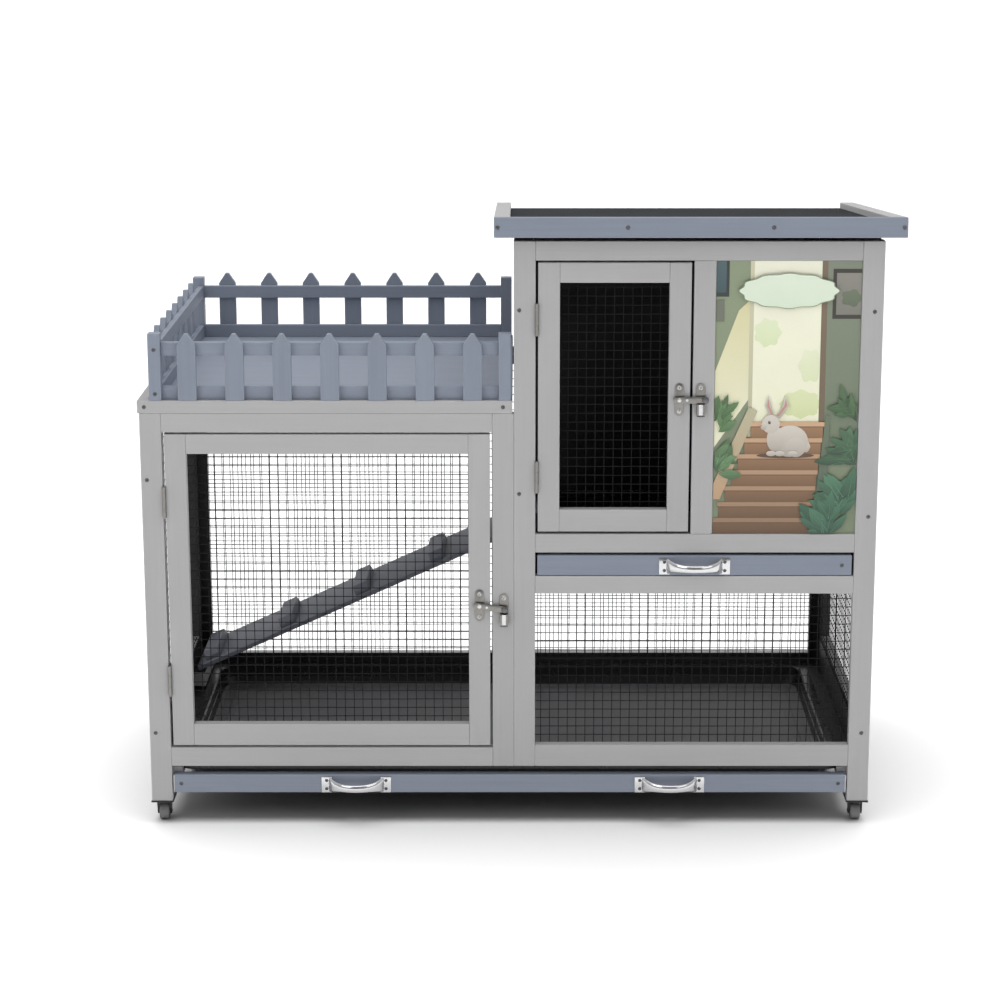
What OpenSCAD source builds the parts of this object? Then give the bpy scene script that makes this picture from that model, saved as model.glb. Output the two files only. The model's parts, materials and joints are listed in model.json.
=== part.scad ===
// Two-level rabbit hutch on casters. A wire-mesh run with a fenced deck on top stands beside
// a taller cabin with a lifting roof. Both units share one floor pan, and a ramp climbs from
// the run into the cabin. The front faces -Y, +X is to the right and +Z is up. The origin is
// on the ground, under the middle of the bounding box.

/* [Overall] */
// Width of the low run unit
run_w = 520; // [440:2:640]
// Width of the tall cabin unit
cabin_w = 508; // [460:2:620]
// Depth from the front plane to the back plane
depth = 500; // [440:2:620]
// Height of the run frame's top above the ground
run_top = 605; // [560:1:740]
// Height of the cabin's front frame above the ground
cabin_top = 846; // [820:1:1020]
// Height of the cabin floor's top face
floor_z = 371; // [340:1:400]
// Underside of the front frame, above the floor pan
frame_low = 88; // [88:1:100]
// How far the roof falls from front to back
roof_fall = 45; // [20:1:70]

/* [Boards] */
// Face width of the frame boards
board_w = 30; // [28:0.5:36]
// Thickness of the frame boards
board_t = 14; // [12:0.5:18]
// Height of the run's front bottom rail
run_low_rail_h = 28; // [24:1:40]
// Height of the cabin's front bottom rail
cabin_low_rail_h = 32; // [24:1:44]
// Height of the rails over the doors
top_rail_h = 27; // [22:1:34]
// Height of the rail under the cabin floor's front edge
floor_rail_h = 26; // [22:1:34]
// Height of the sill rail under the upper door
sill_h = 27; // [22:1:34]
// Height of the side panels' bottom rails above the front frame's underside
side_low_rail_h = 50; // [30:1:60]
// Thickness of the cabin's wall panels
wall_t = 10; // [6:0.5:12]
// Thickness of the cabin's floor board
floor_t = 8; // [6:0.5:12]
// Thickness of the mesh sheets, which stand for welded wire
mesh_t = 0.8; // [0.6:0.1:1.5]
// How far a mesh sheet laps over the frame behind it
mesh_lap = 6; // [4:1:10]

/* [Doors] */
// Gap at each door's sides and bottom
door_gap = 3.5; // [3:0.1:5]
// Gap over each door
door_top_gap = 2.8; // [2:0.1:5]
// Width of the opening for the upper door
upper_open_w = 217.5; // [180:0.5:260]
// Height of the doors' top rails
door_top_rail_h = 28; // [24:1:36]
// Height of the doors' bottom rails
door_low_rail_h = 32; // [24:1:40]
// Distance of the upper door's hinges from its ends
upper_hinge_inset = 79; // [40:1:120]
// Distance of the lower door's hinges from its ends
lower_hinge_inset = 97; // [40:1:140]
// Length of a door hinge
hinge_len = 45; // [30:1:60]
// Outer radius of a door hinge's knuckles
knuckle_r = 2.6; // [2.4:0.1:2.9]
// Radius of a door hinge's pin
hinge_pin_r = 1.2; // [0.8:0.1:1.4]
// Thickness of a door hinge's leaves
leaf_t = 1; // [0.6:0.1:1.2]

/* [Latches] */
// Height of the upper latch above the cabin floor
upper_latch_up = 254; // [150:1:320]
// Height of the lower latch above the ground
lower_latch_z = 328; // [200:1:450]
// Downward tilt of the lower latch arm in degrees
lower_latch_tilt = 8; // [0:1:12]
// Distance of the upper keeper from its stile's near edge
upper_keeper_in = 11; // [9:0.5:20]
// Distance of the lower keeper from its stile's near edge
lower_keeper_in = 16; // [9:0.5:20]
// Width of the latch plates
latch_plate_w = 13; // [10:0.5:16]
// Height of the latch plates
latch_plate_h = 46; // [36:1:60]
// Height of the latch arm
latch_arm_h = 10; // [8:0.5:12]
// Reach of the latch arm from its pivot to its tip
latch_reach = 41; // [38:1:60]

/* [Trays] */
// Gap at each end of a tray front
tray_gap = 3; // [2:0.5:5]
// Height of the lower tray's front board
lower_front_h = 27; // [22:1:30]
// Bottom of the lower tray's front board
lower_front_z = 48; // [42:1:52]
// Height of the upper tray's front board
upper_front_h = 29; // [24:1:31]
// Depth of the upper tray
upper_tray_d = 332; // [280:1:380]
// Height of the lower pan
lower_pan_h = 36; // [25:1:38]
// Height of the upper pan
upper_pan_h = 26; // [18:1:28]
// Wall thickness of the pans
pan_wall = 2; // [1.5:0.1:3]
// Width of the lower pan's rim
pan_rim_w = 12; // [8:1:16]
// Corner radius of the pans
pan_corner_r = 26; // [15:1:40]
// Distance from the lower tray's left end to its left handle
lower_handle_left_in = 261; // [120:1:320]
// Distance from the lower tray's right end to its right handle
lower_handle_right_in = 252; // [120:1:320]
// Overall length of a handle
handle_len = 100; // [80:1:130]
// How far a handle stands out
handle_reach = 24; // [21:1:32]
// Radius of a handle's bar
handle_bar_r = 4; // [3:0.5:5]

/* [Deck and fence] */
// Height of the deck above the run frame
deck_t = 18; // [12:1:24]
// Overhang of the deck at its left end
deck_over = 2.5; // [0:0.5:10]
// Height of the pickets and posts
picket_h = 94; // [70:1:130]
// How much higher the back pickets stand
back_picket_lift = 6; // [0:0.5:8]
// Width of a picket
picket_w = 26; // [20:1:32]
// Thickness of a picket
picket_t = 8; // [6:0.5:10]
// Height of a picket's point
picket_point_h = 16; // [8:1:24]
// Number of pickets along each side
picket_count = 7; // [5:1:8]
// Distance from a post's centre to the first front picket
picket_end_gap = 44.5; // [34:0.5:60]
// Side of a square fence post
post_w = 17; // [15:0.5:24]
// Inset of the fence from the left end
fence_in = 15; // [12:1:30]
// Height of a fence rail
fence_rail_h = 19; // [14:1:24]
// Thickness of a fence rail
fence_rail_t = 8; // [6:0.5:10]
// Height of the top fence rail's lower edge over the deck
fence_rail_up = 62; // [45:1:68]

/* [Ramp] */
// Slope of the ramp in degrees
ramp_slope = 24.4; // [20:0.1:26]
// Width of the ramp
ramp_w = 130; // [90:1:130]
// Thickness of the ramp plank
ramp_t = 7; // [6:0.5:16]
// Height of the ramp's top under the cabin floor where it enters the cabin
ramp_entry_drop = 26; // [20:1:34]
// Height of the ramp's top at its foot
ramp_foot_z = 117.7; // [110:0.1:160]
// Number of cleats
cleat_count = 5; // [3:1:6]
// Distance between cleats along the slope
cleat_pitch = 130; // [80:1:140]
// Height of a cleat
cleat_h = 14; // [8:1:18]
// Width of a cleat along the slope
cleat_w = 24; // [14:1:30]
// Length of a cleat across the ramp
cleat_len = 108; // [70:1:108]

/* [Roof] */
// Overhang of the roof at each side
roof_side_over = 27; // [24:1:50]
// Overhang of the roof at the front
roof_front_over = 20; // [16:1:40]
// Overhang of the roof at the back
roof_back_over = 20; // [16:1:40]
// Height of the front fascia and side rims
rim_h = 28; // [26:1:40]
// Width of the side rims
rim_w = 22; // [16:1:23]
// Thickness of the roof panel
roof_panel_t = 8.5; // [6:0.5:10]
// Thickness of the roofing felt
felt_t = 1.5; // [1:0.1:2.5]
// Thickness of the battens under the roof panel
batten_t = 12.6; // [12:0.2:16]
// Length of a roof hinge
roof_hinge_len = 50; // [40:1:80]

/* [Casters] */
// Overall height of a caster
caster_h = 35; // [35:1:50]
// Radius of a caster wheel
wheel_r = 12.5; // [10:0.5:12.5]
// Width of a caster wheel
wheel_w = 14; // [10:0.5:14]
// Distance from the swivel axis back to the wheel's axle
caster_trail = 6; // [4:0.5:6]

/* [Hidden] */
$fn = 48;

light_grey = [0.66, 0.66, 0.67];
blue_grey = [0.50, 0.53, 0.58];
zinc = [0.70, 0.70, 0.68];

// Small clearances
touch_gap = 0.2;       // between boards that share a node
slide_gap = 0.5;       // under a sliding tray
running_gap = 0.05;    // radial, round a pin or axle
knuckle_gap = 0.3;     // between a hinge's knuckles
rest_gap = 0.4;        // under the closed roof

// Main planes, measured from the left leg's outer face and the front plane
total_w = run_w + cabin_w;
back_y = depth - board_t;
cabin_x = run_w;
right_x = total_w - board_w;
door_x1 = run_w - board_w;
upper_x0 = cabin_x + board_w;
upper_x1 = upper_x0 + upper_open_w;
picture_x0 = upper_x1 + board_w;
upper_z0 = floor_z + 34 + sill_h;
upper_z1 = cabin_top - top_rail_h;
lower_z0 = frame_low + run_low_rail_h;
lower_z1 = run_top - top_rail_h;
floor_rail_z = floor_z - floor_rail_h;
sill_z = floor_z + 34;
back_rail_z = frame_low - 18;
back_rail_h = board_w;
deck_top = run_top + deck_t;
deck_right = cabin_x - 2;

// Roof plane, through the front frame's back top edge
roof_tilt = atan(roof_fall / (depth - board_t));
function roof_z(y) = cabin_top - (y - board_t) * tan(roof_tilt);
back_top = roof_z(depth);
rim_low = 4;
rim_top = rim_low + rim_h;
roof_front = -(board_t + roof_front_over + rim_low * sin(roof_tilt)) / cos(roof_tilt);
roof_back = (depth - board_t + roof_back_over - rim_top * sin(roof_tilt)) / cos(roof_tilt);
roof_x0 = cabin_x - roof_side_over;
roof_x1 = total_w + roof_side_over;
panel_low = rest_gap + batten_t;
panel_top = panel_low + roof_panel_t;

// Roof hinge
roof_knuckle_r = 3;
roof_pin_r = 1.5;
roof_leaf_t = 1.2;
roof_leaf_len = 30;
roof_hinge_out = 3.5;
roof_hinge_drop = roof_knuckle_r + 0.5;
roof_hinge_y = depth + roof_hinge_out;
roof_hinge_z = roof_z(roof_hinge_y) + (panel_low - roof_hinge_drop) / cos(roof_tilt);
roof_hinge_in = 90;
roof_hinge_xs = [cabin_x + roof_hinge_in, total_w - roof_hinge_in];

// Ramp: its plank runs down from the cabin's left side to its foot, or to the run's left side
ramp_y1 = back_y - 1.5;
ramp_y0 = ramp_y1 - ramp_w;
ramp_top_z = floor_z - ramp_entry_drop;
ramp_rise = tan(ramp_slope);
ramp_x0 = max(board_t + 5, cabin_x - (ramp_top_z - ramp_foot_z) / ramp_rise);
ramp_end_x = cabin_x + ramp_entry_drop / ramp_rise;
function ramp_z(x) = ramp_top_z + (x - cabin_x) * ramp_rise;
ramp_len = (ramp_end_x - ramp_x0) / cos(ramp_slope);
hatch_x1 = ramp_end_x + ramp_t * sin(ramp_slope) + 1;
hatch_y0 = ramp_y0 - 4;
cleat_start = 18;
cleat_chamfer = 8;
ledge_w = 15;
ledge_top = ramp_z(ramp_x0) - ramp_t / cos(ramp_slope);
ledge_low = frame_low - 1;

// Doors
axis_out = 2.5;
plate_back = 0.4;
leaf_d = 12;
upper_door = [upper_x0 + door_gap, upper_x1 - door_gap, upper_z0 + door_gap, upper_z1 - door_top_gap];
lower_door = [board_w + door_gap, door_x1 - door_gap, lower_z0 + door_gap, lower_z1 - door_top_gap];
upper_axis_x = upper_x0 + door_gap / 2;
lower_axis_x = board_w + door_gap / 2;
upper_hinge_zs = [upper_door[2] + upper_hinge_inset, upper_door[3] - upper_hinge_inset];
lower_hinge_zs = [lower_door[2] + lower_hinge_inset, lower_door[3] - lower_hinge_inset];

// Latches
plate_t = 1.5;
screw_r = 3;
screw_h = 0.8;
latch_screw_h = 1.4;
arm_t = 2;
arm_y = -6;
arm_lead = 4;
rivet_r = 1.9;
rivet_boss_r = 3.4;
knob_r = 4.8;
keeper_lip_y = -8.5;
keeper_gap = 0.2;
upper_latch_x = upper_door[1] - board_w / 2;
upper_latch_z = floor_z + upper_latch_up;
lower_latch_x = lower_door[1] - board_w / 2;
upper_keeper_x = upper_x1 + upper_keeper_in;
lower_keeper_x = door_x1 + lower_keeper_in;

// Trays
lower_front_x0 = board_w + tray_gap;
lower_front_x1 = right_x - tray_gap;
upper_front_x0 = upper_x0 + tray_gap;
upper_front_x1 = right_x - tray_gap;
upper_front_z = floor_z + 1;
pan_top = frame_low - 3;
pan_rim_t = 2;
upper_rim_w = 8;
lower_pan_back = back_y - 6;
upper_pan_back = board_t + upper_tray_d;
runner_w = board_w;
runner_t = board_t;
runner_z = pan_top - pan_rim_t - slide_gap / 2 - runner_t;
lower_handle_z = lower_front_z + lower_front_h / 2 - 1;
upper_handle_z = upper_front_z + upper_front_h / 2 - 1;
handle_plate_w = 15;
handle_plate_h = 24;
bow_half = handle_len / 2 - handle_plate_w + 0.5;
bow_rise = handle_reach - handle_bar_r - plate_t;
bow_r = (bow_half * bow_half + bow_rise * bow_rise) / (2 * bow_rise);
bow_angle = asin(bow_half / bow_r);

// Casters
caster_plate_w = 32;
caster_plate_d = 36;
caster_plate_t = 2;
kingpin_r = 3;
fork_top_r = 11;
fork_t = 2;
axle_r = 2;
fork_gap = 1;
caster_in_x = board_w / 2;
caster_in_y = 17;
caster_xs = [caster_in_x, total_w - caster_in_x];
caster_ys = [caster_in_y, depth - caster_in_y];

// Bounding box, which sets the origin
box_x0 = -deck_over;
box_x1 = roof_x1;
box_y0 = -max(handle_reach, roof_front_over);
box_y1 = depth + roof_back_over;

// Moves the hutch from its left leg's corner to the origin
module hutch() {
    translate([-(box_x0 + box_x1) / 2, -(box_y0 + box_y1) / 2, 0])
        children();
}

// A board or block between two opposite corners
module block(low, high) {
    translate(low)
        cube(high - low);
}

// A cylinder along Y, from y0 to y1
module peg(x, z, r, y0, y1) {
    translate([x, y1, z])
        rotate([90, 0, 0])
            cylinder(r = r, h = y1 - y0);
}

// An outline in the YZ plane, extruded from x0 to x1
module side_shape(x0, x1) {
    translate([x0, 0, 0])
        rotate([90, 0, 90])
            linear_extrude(x1 - x0)
                children();
}

// A side piece whose top follows the roof
module roof_cut_board(x0, x1, y0, y1, z0) {
    side_shape(x0, x1)
        polygon([[y0, z0], [y1, z0], [y1, roof_z(y1)], [y0, roof_z(y0)]]);
}

// ---- Front and back frames ----

module front_legs() {
    color(light_grey) hutch() {
        block([0, 0, caster_h], [board_w, board_t, run_top]);
        block([right_x, 0, caster_h], [total_w, board_t, cabin_top]);
    }
}

module run_inner_stile() {
    color(light_grey) hutch()
        block([door_x1, 0, frame_low], [cabin_x, board_t, run_top]);
}

module cabin_posts() {
    color(light_grey) hutch() {
        block([cabin_x, 0, frame_low], [upper_x0, board_t, cabin_top]);
        block([upper_x1, 0, upper_z0], [picture_x0, board_t, upper_z1]);
    }
}

module run_front_rails() {
    color(light_grey) hutch() {
        block([board_w, 0, frame_low], [door_x1, board_t, lower_z0]);
        block([board_w, 0, lower_z1], [door_x1, board_t, run_top]);
    }
}

module cabin_front_rails() {
    color(light_grey) hutch() {
        block([upper_x0, 0, frame_low], [right_x, board_t, frame_low + cabin_low_rail_h]);
        block([upper_x0, 0, floor_rail_z], [right_x, board_t, floor_z]);
        block([upper_x0, 0, sill_z], [right_x, board_t, upper_z0]);
        block([upper_x0, 0, upper_z1], [right_x, board_t, cabin_top]);
    }
}

module back_posts() {
    color(light_grey) hutch() {
        block([0, back_y, caster_h], [board_w, depth, run_top]);
        block([cabin_x, back_y, back_rail_z], [upper_x0, depth, back_top]);
        block([right_x, back_y, caster_h], [total_w, depth, back_top]);
    }
}

module back_rails() {
    color(light_grey) hutch() {
        block([board_w, back_y, back_rail_z], [cabin_x, depth, back_rail_z + back_rail_h]);
        block([board_w, back_y, lower_z1], [cabin_x, depth, run_top]);
        block([upper_x0, back_y, back_rail_z], [right_x, depth, back_rail_z + back_rail_h]);
        block([upper_x0, back_y, floor_rail_z], [right_x, depth, floor_z]);
        block([upper_x0, back_y, back_top - top_rail_h], [right_x, depth, back_top]);
    }
}

// ---- Side frames and cabin walls ----

module side_stiles() {
    y1 = board_t + board_w;
    y2 = back_y - board_w;
    right = total_w - board_t;
    color(light_grey) hutch() {
        block([0, board_t, caster_h], [board_t, y1, run_top]);
        block([0, y2, caster_h], [board_t, back_y, run_top]);
        roof_cut_board(cabin_x, cabin_x + board_t, board_t, y1, frame_low);
        roof_cut_board(cabin_x, cabin_x + board_t, y2, back_y, run_top);
        roof_cut_board(right, total_w, board_t, y1, caster_h);
        roof_cut_board(right, total_w, y2, back_y, caster_h);
    }
}

module side_rails() {
    y1 = board_t + board_w;
    y2 = back_y - board_w;
    right = total_w - board_t;
    color(light_grey) hutch() {
        block([0, y1, runner_z], [board_t, y2, frame_low + side_low_rail_h]);
        block([0, y1, run_top - top_rail_h], [board_t, y2, run_top]);
        block([right, y1, runner_z], [total_w, y2, frame_low + side_low_rail_h]);
        block([right, y1, floor_rail_z], [total_w, y2, floor_z]);
    }
}

module cabin_side_walls() {
    y1 = board_t + board_w;
    y2 = back_y - board_w;
    inset = (board_t - wall_t) / 2;
    left = cabin_x + inset;
    right = total_w - board_t + inset;
    color(light_grey) hutch() {
        roof_cut_board(left, left + wall_t, y1, hatch_y0, floor_z);
        roof_cut_board(left, left + wall_t, hatch_y0 + touch_gap, y2, run_top);
        roof_cut_board(right, right + wall_t, y1, y2, floor_z);
    }
}

module cabin_back_wall() {
    inset = (board_t - wall_t) / 2;
    color(light_grey) hutch()
        block([upper_x0, back_y + inset, floor_z],
            [right_x, back_y + inset + wall_t, back_top - top_rail_h]);
}

// Two floor boards, which leave a hatch at the back left corner, where the ramp comes up
module cabin_floor() {
    low = floor_z - floor_t;
    x1 = total_w - board_t;
    color(light_grey) hutch() {
        block([cabin_x + board_t, board_t, low], [x1, hatch_y0, floor_z]);
        block([hatch_x1, hatch_y0 + touch_gap, low], [x1, back_y, floor_z]);
    }
}

module picture_panel() {
    recess = 3;
    color([0.72, 0.74, 0.55]) hutch()
        block([picture_x0, recess, upper_z0], [right_x, recess + wall_t / 2, upper_z1]);
}

// ---- Mesh sheets, which stand for welded wire ----

module run_meshes() {
    y1 = board_t + board_w - mesh_lap;
    y2 = back_y - board_w + mesh_lap;
    side_z0 = frame_low + side_low_rail_h - mesh_lap;
    back_z0 = back_rail_z + back_rail_h - mesh_lap;
    left = board_t + touch_gap;
    right = total_w - board_t - touch_gap;
    front = board_t + touch_gap;
    back = back_y - touch_gap;
    run_z1 = run_top - top_rail_h + mesh_lap;
    floor_z1 = floor_rail_z + mesh_lap;
    color("dimgray") hutch() {
        block([upper_x0 - mesh_lap, front, frame_low + cabin_low_rail_h - mesh_lap],
            [right_x + mesh_lap, front + mesh_t, floor_z1]);
        block([left, y1, side_z0], [left + mesh_t, y2, run_z1]);
        block([right - mesh_t, y1, side_z0], [right, y2, floor_z1]);
        block([board_w - mesh_lap, back - mesh_t, back_z0],
            [cabin_x + mesh_lap, back, run_z1]);
        block([upper_x0 - mesh_lap, back - mesh_t, back_z0],
            [right_x + mesh_lap, back, floor_z1]);
    }
}

// ---- Deck and fence ----

module deck_edges() {
    color(light_grey) hutch() {
        block([-deck_over, 0, run_top], [deck_right, board_t, deck_top]);
        block([-deck_over, board_t + touch_gap, run_top],
            [board_t - deck_over, back_y - touch_gap, deck_top]);
        block([-deck_over, back_y, run_top], [deck_right, depth, deck_top]);
    }
}

module deck_floor() {
    color(blue_grey) hutch()
        block([board_t - deck_over + touch_gap, board_t + touch_gap, run_top],
            [deck_right, back_y - touch_gap, deck_top]);
}

fence_x1 = deck_right - 2;
fence_rails_z = [deck_top, deck_top + fence_rail_up];

module fence_posts() {
    color(blue_grey) hutch()
        for (x = [fence_in, fence_x1 - post_w], y = [0, depth - post_w])
            block([x, y, deck_top], [x + post_w, y + post_w, deck_top + picket_h]);
}

module fence_rails() {
    x0 = fence_in + post_w;
    x1 = fence_x1 - post_w;
    color(blue_grey) hutch()
        for (z = fence_rails_z) {
            block([x0, picket_t, z], [x1, picket_t + fence_rail_t, z + fence_rail_h]);
            block([x0, depth - picket_t - fence_rail_t, z], [x1, depth - picket_t, z + fence_rail_h]);
            block([fence_in + picket_t, post_w, z],
                [fence_in + picket_t + fence_rail_t, depth - post_w, z + fence_rail_h]);
        }
}

// One picket, facing -Y, centred on x = 0 and standing on z = 0
module picket() {
    half = picket_w / 2;
    tip = 2.5;
    shoulder = picket_h - picket_point_h;
    translate([0, picket_t, 0])
        rotate([90, 0, 0])
            linear_extrude(picket_t)
                polygon([[-half, 0], [half, 0], [half, shoulder], [tip, picket_h],
                    [-tip, picket_h], [-half, shoulder]]);
}

module fence_pickets() {
    first_x = fence_in + post_w / 2 + picket_end_gap;
    last_x = fence_x1 - post_w / 2 - picket_end_gap;
    step_x = (last_x - first_x) / (picket_count - 1);
    step_y = (depth - post_w) / (picket_count + 1);
    color(blue_grey) hutch()
        for (i = [0:picket_count - 1]) {
            translate([first_x + i * step_x, 0, deck_top]) picket();
            translate([first_x + i * step_x, depth - picket_t, deck_top + back_picket_lift]) picket();
            translate([fence_in, post_w / 2 + (i + 1) * step_y, deck_top])
                rotate([0, 0, -90]) picket();
        }
}

// ---- Ramp ----

// Runs along the ramp's top face: x up the slope, z out of the plank
module on_ramp() {
    translate([ramp_x0, ramp_y0, ramp_z(ramp_x0)])
        rotate([0, -ramp_slope, 0])
            children();
}

module ramp_plank() {
    color(blue_grey) hutch() {
        on_ramp() block([ramp_t * sin(ramp_slope), 0, -ramp_t], [ramp_len, ramp_w, 0]);
    }
}

module ramp_cleats() {
    y0 = (ramp_w - cleat_len) / 2;
    y1 = y0 + cleat_len;
    top = cleat_h;
    shoulder = cleat_h - cleat_chamfer;
    color(blue_grey) hutch() on_ramp()
        for (i = [0:cleat_count - 1])
            side_shape(cleat_start + i * cleat_pitch, cleat_start + i * cleat_pitch + cleat_w)
                polygon([[y0, 0], [y1, 0], [y1, shoulder], [y1 - cleat_chamfer, top],
                    [y0 + cleat_chamfer, top], [y0, shoulder]]);
}

// ---- Tray runners, and the ledge under the ramp's foot ----

module tray_runners() {
    color(light_grey) hutch() {
        block([board_t, board_t, runner_z], [board_t + runner_w, back_y, runner_z + runner_t]);
        block([total_w - board_t - runner_w, board_t, runner_z],
            [total_w - board_t, back_y, runner_z + runner_t]);
        block([board_t + 2 * mesh_t, ramp_y0, ledge_low],
            [ramp_x0 + ledge_w, back_y - 2 * mesh_t, ledge_top]);
    }
}

// ---- Hinges ----

// One knuckle with its bore, along Z
module knuckle(z0, z1, r, pin_r) {
    translate([0, 0, z0]) difference() {
        cylinder(r = r, h = z1 - z0);
        translate([0, 0, -1])
            cylinder(r = pin_r + running_gap, h = z1 - z0 + 2);
    }
}

// The half of a door hinge on the frame: two end knuckles, the leaf in the gap, and the pin
module frame_half_hinge() {
    half = hinge_len / 2;
    third = hinge_len / 6;
    outer = -door_gap / 2;
    for (end = [-1, 1]) {
        difference() {
            union() {
                knuckle(end > 0 ? third : -half, end > 0 ? half : -third, knuckle_r, hinge_pin_r);
                block([outer, 0, end > 0 ? third : -half],
                    [outer + leaf_t, axis_out + plate_back + 0.5, end > 0 ? half : -third]);
            }
            translate([0, 0, -half - 1])
                cylinder(r = hinge_pin_r + running_gap, h = hinge_len + 2);
        }
    }
    block([outer, axis_out + plate_back, -half], [outer + leaf_t, axis_out + leaf_d, half]);
    translate([0, 0, -half])
        cylinder(r = hinge_pin_r, h = hinge_len);
}

// The half of a door hinge on the door: the middle knuckle and its leaf
module door_half_hinge() {
    half = hinge_len / 2;
    reach = hinge_len / 6 - knuckle_gap;
    outer = door_gap / 2;
    difference() {
        union() {
            knuckle(-reach, reach, knuckle_r, hinge_pin_r);
            block([outer - leaf_t, 0, -reach],
                [outer, axis_out + plate_back + 0.5, reach]);
        }
        translate([0, 0, -half])
            cylinder(r = hinge_pin_r + running_gap, h = hinge_len);
    }
    block([outer - leaf_t, axis_out + plate_back, -half], [outer, axis_out + leaf_d, half]);
}

module door_hinge_frame_leaves() {
    color(zinc) hutch() {
        for (z = upper_hinge_zs)
            translate([upper_axis_x, -axis_out, z]) frame_half_hinge();
        for (z = lower_hinge_zs)
            translate([lower_axis_x, -axis_out, z]) frame_half_hinge();
    }
}

module upper_door_hinge_leaves() {
    color(zinc) hutch()
        for (z = upper_hinge_zs)
            translate([upper_axis_x, -axis_out, z]) door_half_hinge();
}

module lower_door_hinge_leaves() {
    color(zinc) hutch()
        for (z = lower_hinge_zs)
            translate([lower_axis_x, -axis_out, z]) door_half_hinge();
}

// Puts a roof hinge's knuckles, drawn along Z, along X at the roof's axis
module along_roof_axis(x) {
    translate([x, roof_hinge_y, roof_hinge_z])
        rotate([0, 90, 0])
            children();
}

module roof_hinge_frame_leaves() {
    half = roof_hinge_len / 2;
    third = roof_hinge_len / 6;
    plate_top = roof_hinge_z - roof_knuckle_r - plate_back;
    color(zinc) hutch()
        for (x = roof_hinge_xs) {
            for (end = [-1, 1]) difference() {
                union() {
                    along_roof_axis(x)
                        knuckle(end > 0 ? third : -half, end > 0 ? half : -third,
                            roof_knuckle_r, roof_pin_r);
                    block([x + (end > 0 ? third : -half), depth, plate_top - 1],
                        [x + (end > 0 ? half : -third), depth + roof_leaf_t, roof_hinge_z]);
                }
                along_roof_axis(x)
                    translate([0, 0, -half - 1])
                        cylinder(r = roof_pin_r + running_gap, h = roof_hinge_len + 2);
            }
            block([x - half, depth, plate_top - roof_leaf_len], [x + half, depth + roof_leaf_t, plate_top]);
            along_roof_axis(x)
                translate([0, 0, -half])
                    cylinder(r = roof_pin_r, h = roof_hinge_len);
        }
}

// ---- Roof, in its own sloping frame: y down the slope, z out of the roof ----

module on_roof() {
    translate([0, board_t, cabin_top])
        rotate([-roof_tilt, 0, 0])
            children();
}

module roof_panel() {
    color("tan") hutch() on_roof()
        block([roof_x0 + rim_w, roof_front + board_t, panel_low],
            [roof_x1 - rim_w, roof_back, panel_top]);
}

module roof_felt() {
    color("dimgray") hutch() on_roof()
        block([roof_x0 + rim_w, roof_front + board_t, panel_top],
            [roof_x1 - rim_w, roof_back, panel_top + felt_t]);
}

module roof_fascia() {
    color(blue_grey) hutch() on_roof()
        block([roof_x0, roof_front, rim_low], [roof_x1, roof_front + board_t, rim_top]);
}

module roof_rims() {
    color(light_grey) hutch() on_roof() {
        block([roof_x0, roof_front + board_t, rim_low], [roof_x0 + rim_w, roof_back, rim_top]);
        block([roof_x1 - rim_w, roof_front + board_t, rim_low], [roof_x1, roof_back, rim_top]);
    }
}

module roof_battens() {
    front_in = 20;
    back_in = depth - board_t - 35;
    color(light_grey) hutch() on_roof() {
        block([cabin_x + 1, front_in, rest_gap], [cabin_x + 1 + rim_w, back_in, panel_low]);
        block([total_w - 1 - rim_w, front_in, rest_gap], [total_w - 1, back_in, panel_low]);
    }
}

// Hinge leaves under the panel, and the fascia's screws
module roof_hardware() {
    half = roof_hinge_len / 2;
    reach = roof_hinge_len / 6 - knuckle_gap;
    axis_y = (roof_hinge_y - board_t) / cos(roof_tilt)
        - (panel_low - roof_hinge_drop) * tan(roof_tilt);
    leaf_end = axis_y - roof_knuckle_r - plate_back;
    screw_z = (rim_low + rim_top) / 2;
    end_in = 5;
    third_in = 182;
    color(zinc) hutch() {
        for (x = roof_hinge_xs) difference() {
            union() {
                along_roof_axis(x) knuckle(-reach, reach, roof_knuckle_r, roof_pin_r);
                on_roof() {
                    block([x - reach, leaf_end - 1, panel_low - roof_leaf_t],
                        [x + reach, axis_y, panel_low]);
                    block([x - half, leaf_end - roof_leaf_len, panel_low - roof_leaf_t],
                        [x + half, leaf_end, panel_low]);
                }
            }
            along_roof_axis(x)
                translate([0, 0, -half])
                    cylinder(r = roof_pin_r + running_gap, h = roof_hinge_len);
        }
        on_roof()
            for (x = [roof_x0 + end_in, roof_x0 + third_in, roof_x1 - third_in, roof_x1 - end_in])
                peg(x, screw_z, screw_r, roof_front - screw_h, roof_front);
    }
}

// ---- Doors, given as [x0, x1, z0, z1] ----

module door_stiles(d) {
    block([d[0], 0, d[2]], [d[0] + board_w, board_t, d[3]]);
    block([d[1] - board_w, 0, d[2]], [d[1], board_t, d[3]]);
}

module door_rails(d) {
    block([d[0] + board_w, 0, d[2]], [d[1] - board_w, board_t, d[2] + door_low_rail_h]);
    block([d[0] + board_w, 0, d[3] - door_top_rail_h], [d[1] - board_w, board_t, d[3]]);
}

module door_mesh(d) {
    y = board_t + touch_gap;
    block([d[0] + board_w - mesh_lap, y, d[2] + door_low_rail_h - mesh_lap],
        [d[1] - board_w + mesh_lap, y + mesh_t, d[3] - door_top_rail_h + mesh_lap]);
}

module upper_door_stiles() {
    color(light_grey) hutch() door_stiles(upper_door);
}

module upper_door_rails() {
    color(light_grey) hutch() door_rails(upper_door);
}

module upper_door_mesh() {
    color("dimgray") hutch() door_mesh(upper_door);
}

module lower_door_stiles() {
    color(light_grey) hutch() door_stiles(lower_door);
}

module lower_door_rails() {
    color(light_grey) hutch() door_rails(lower_door);
}

module lower_door_mesh() {
    color("dimgray") hutch() door_mesh(lower_door);
}

// ---- Latches, drawn round the arm's pivot: x towards the keeper, z up ----

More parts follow.
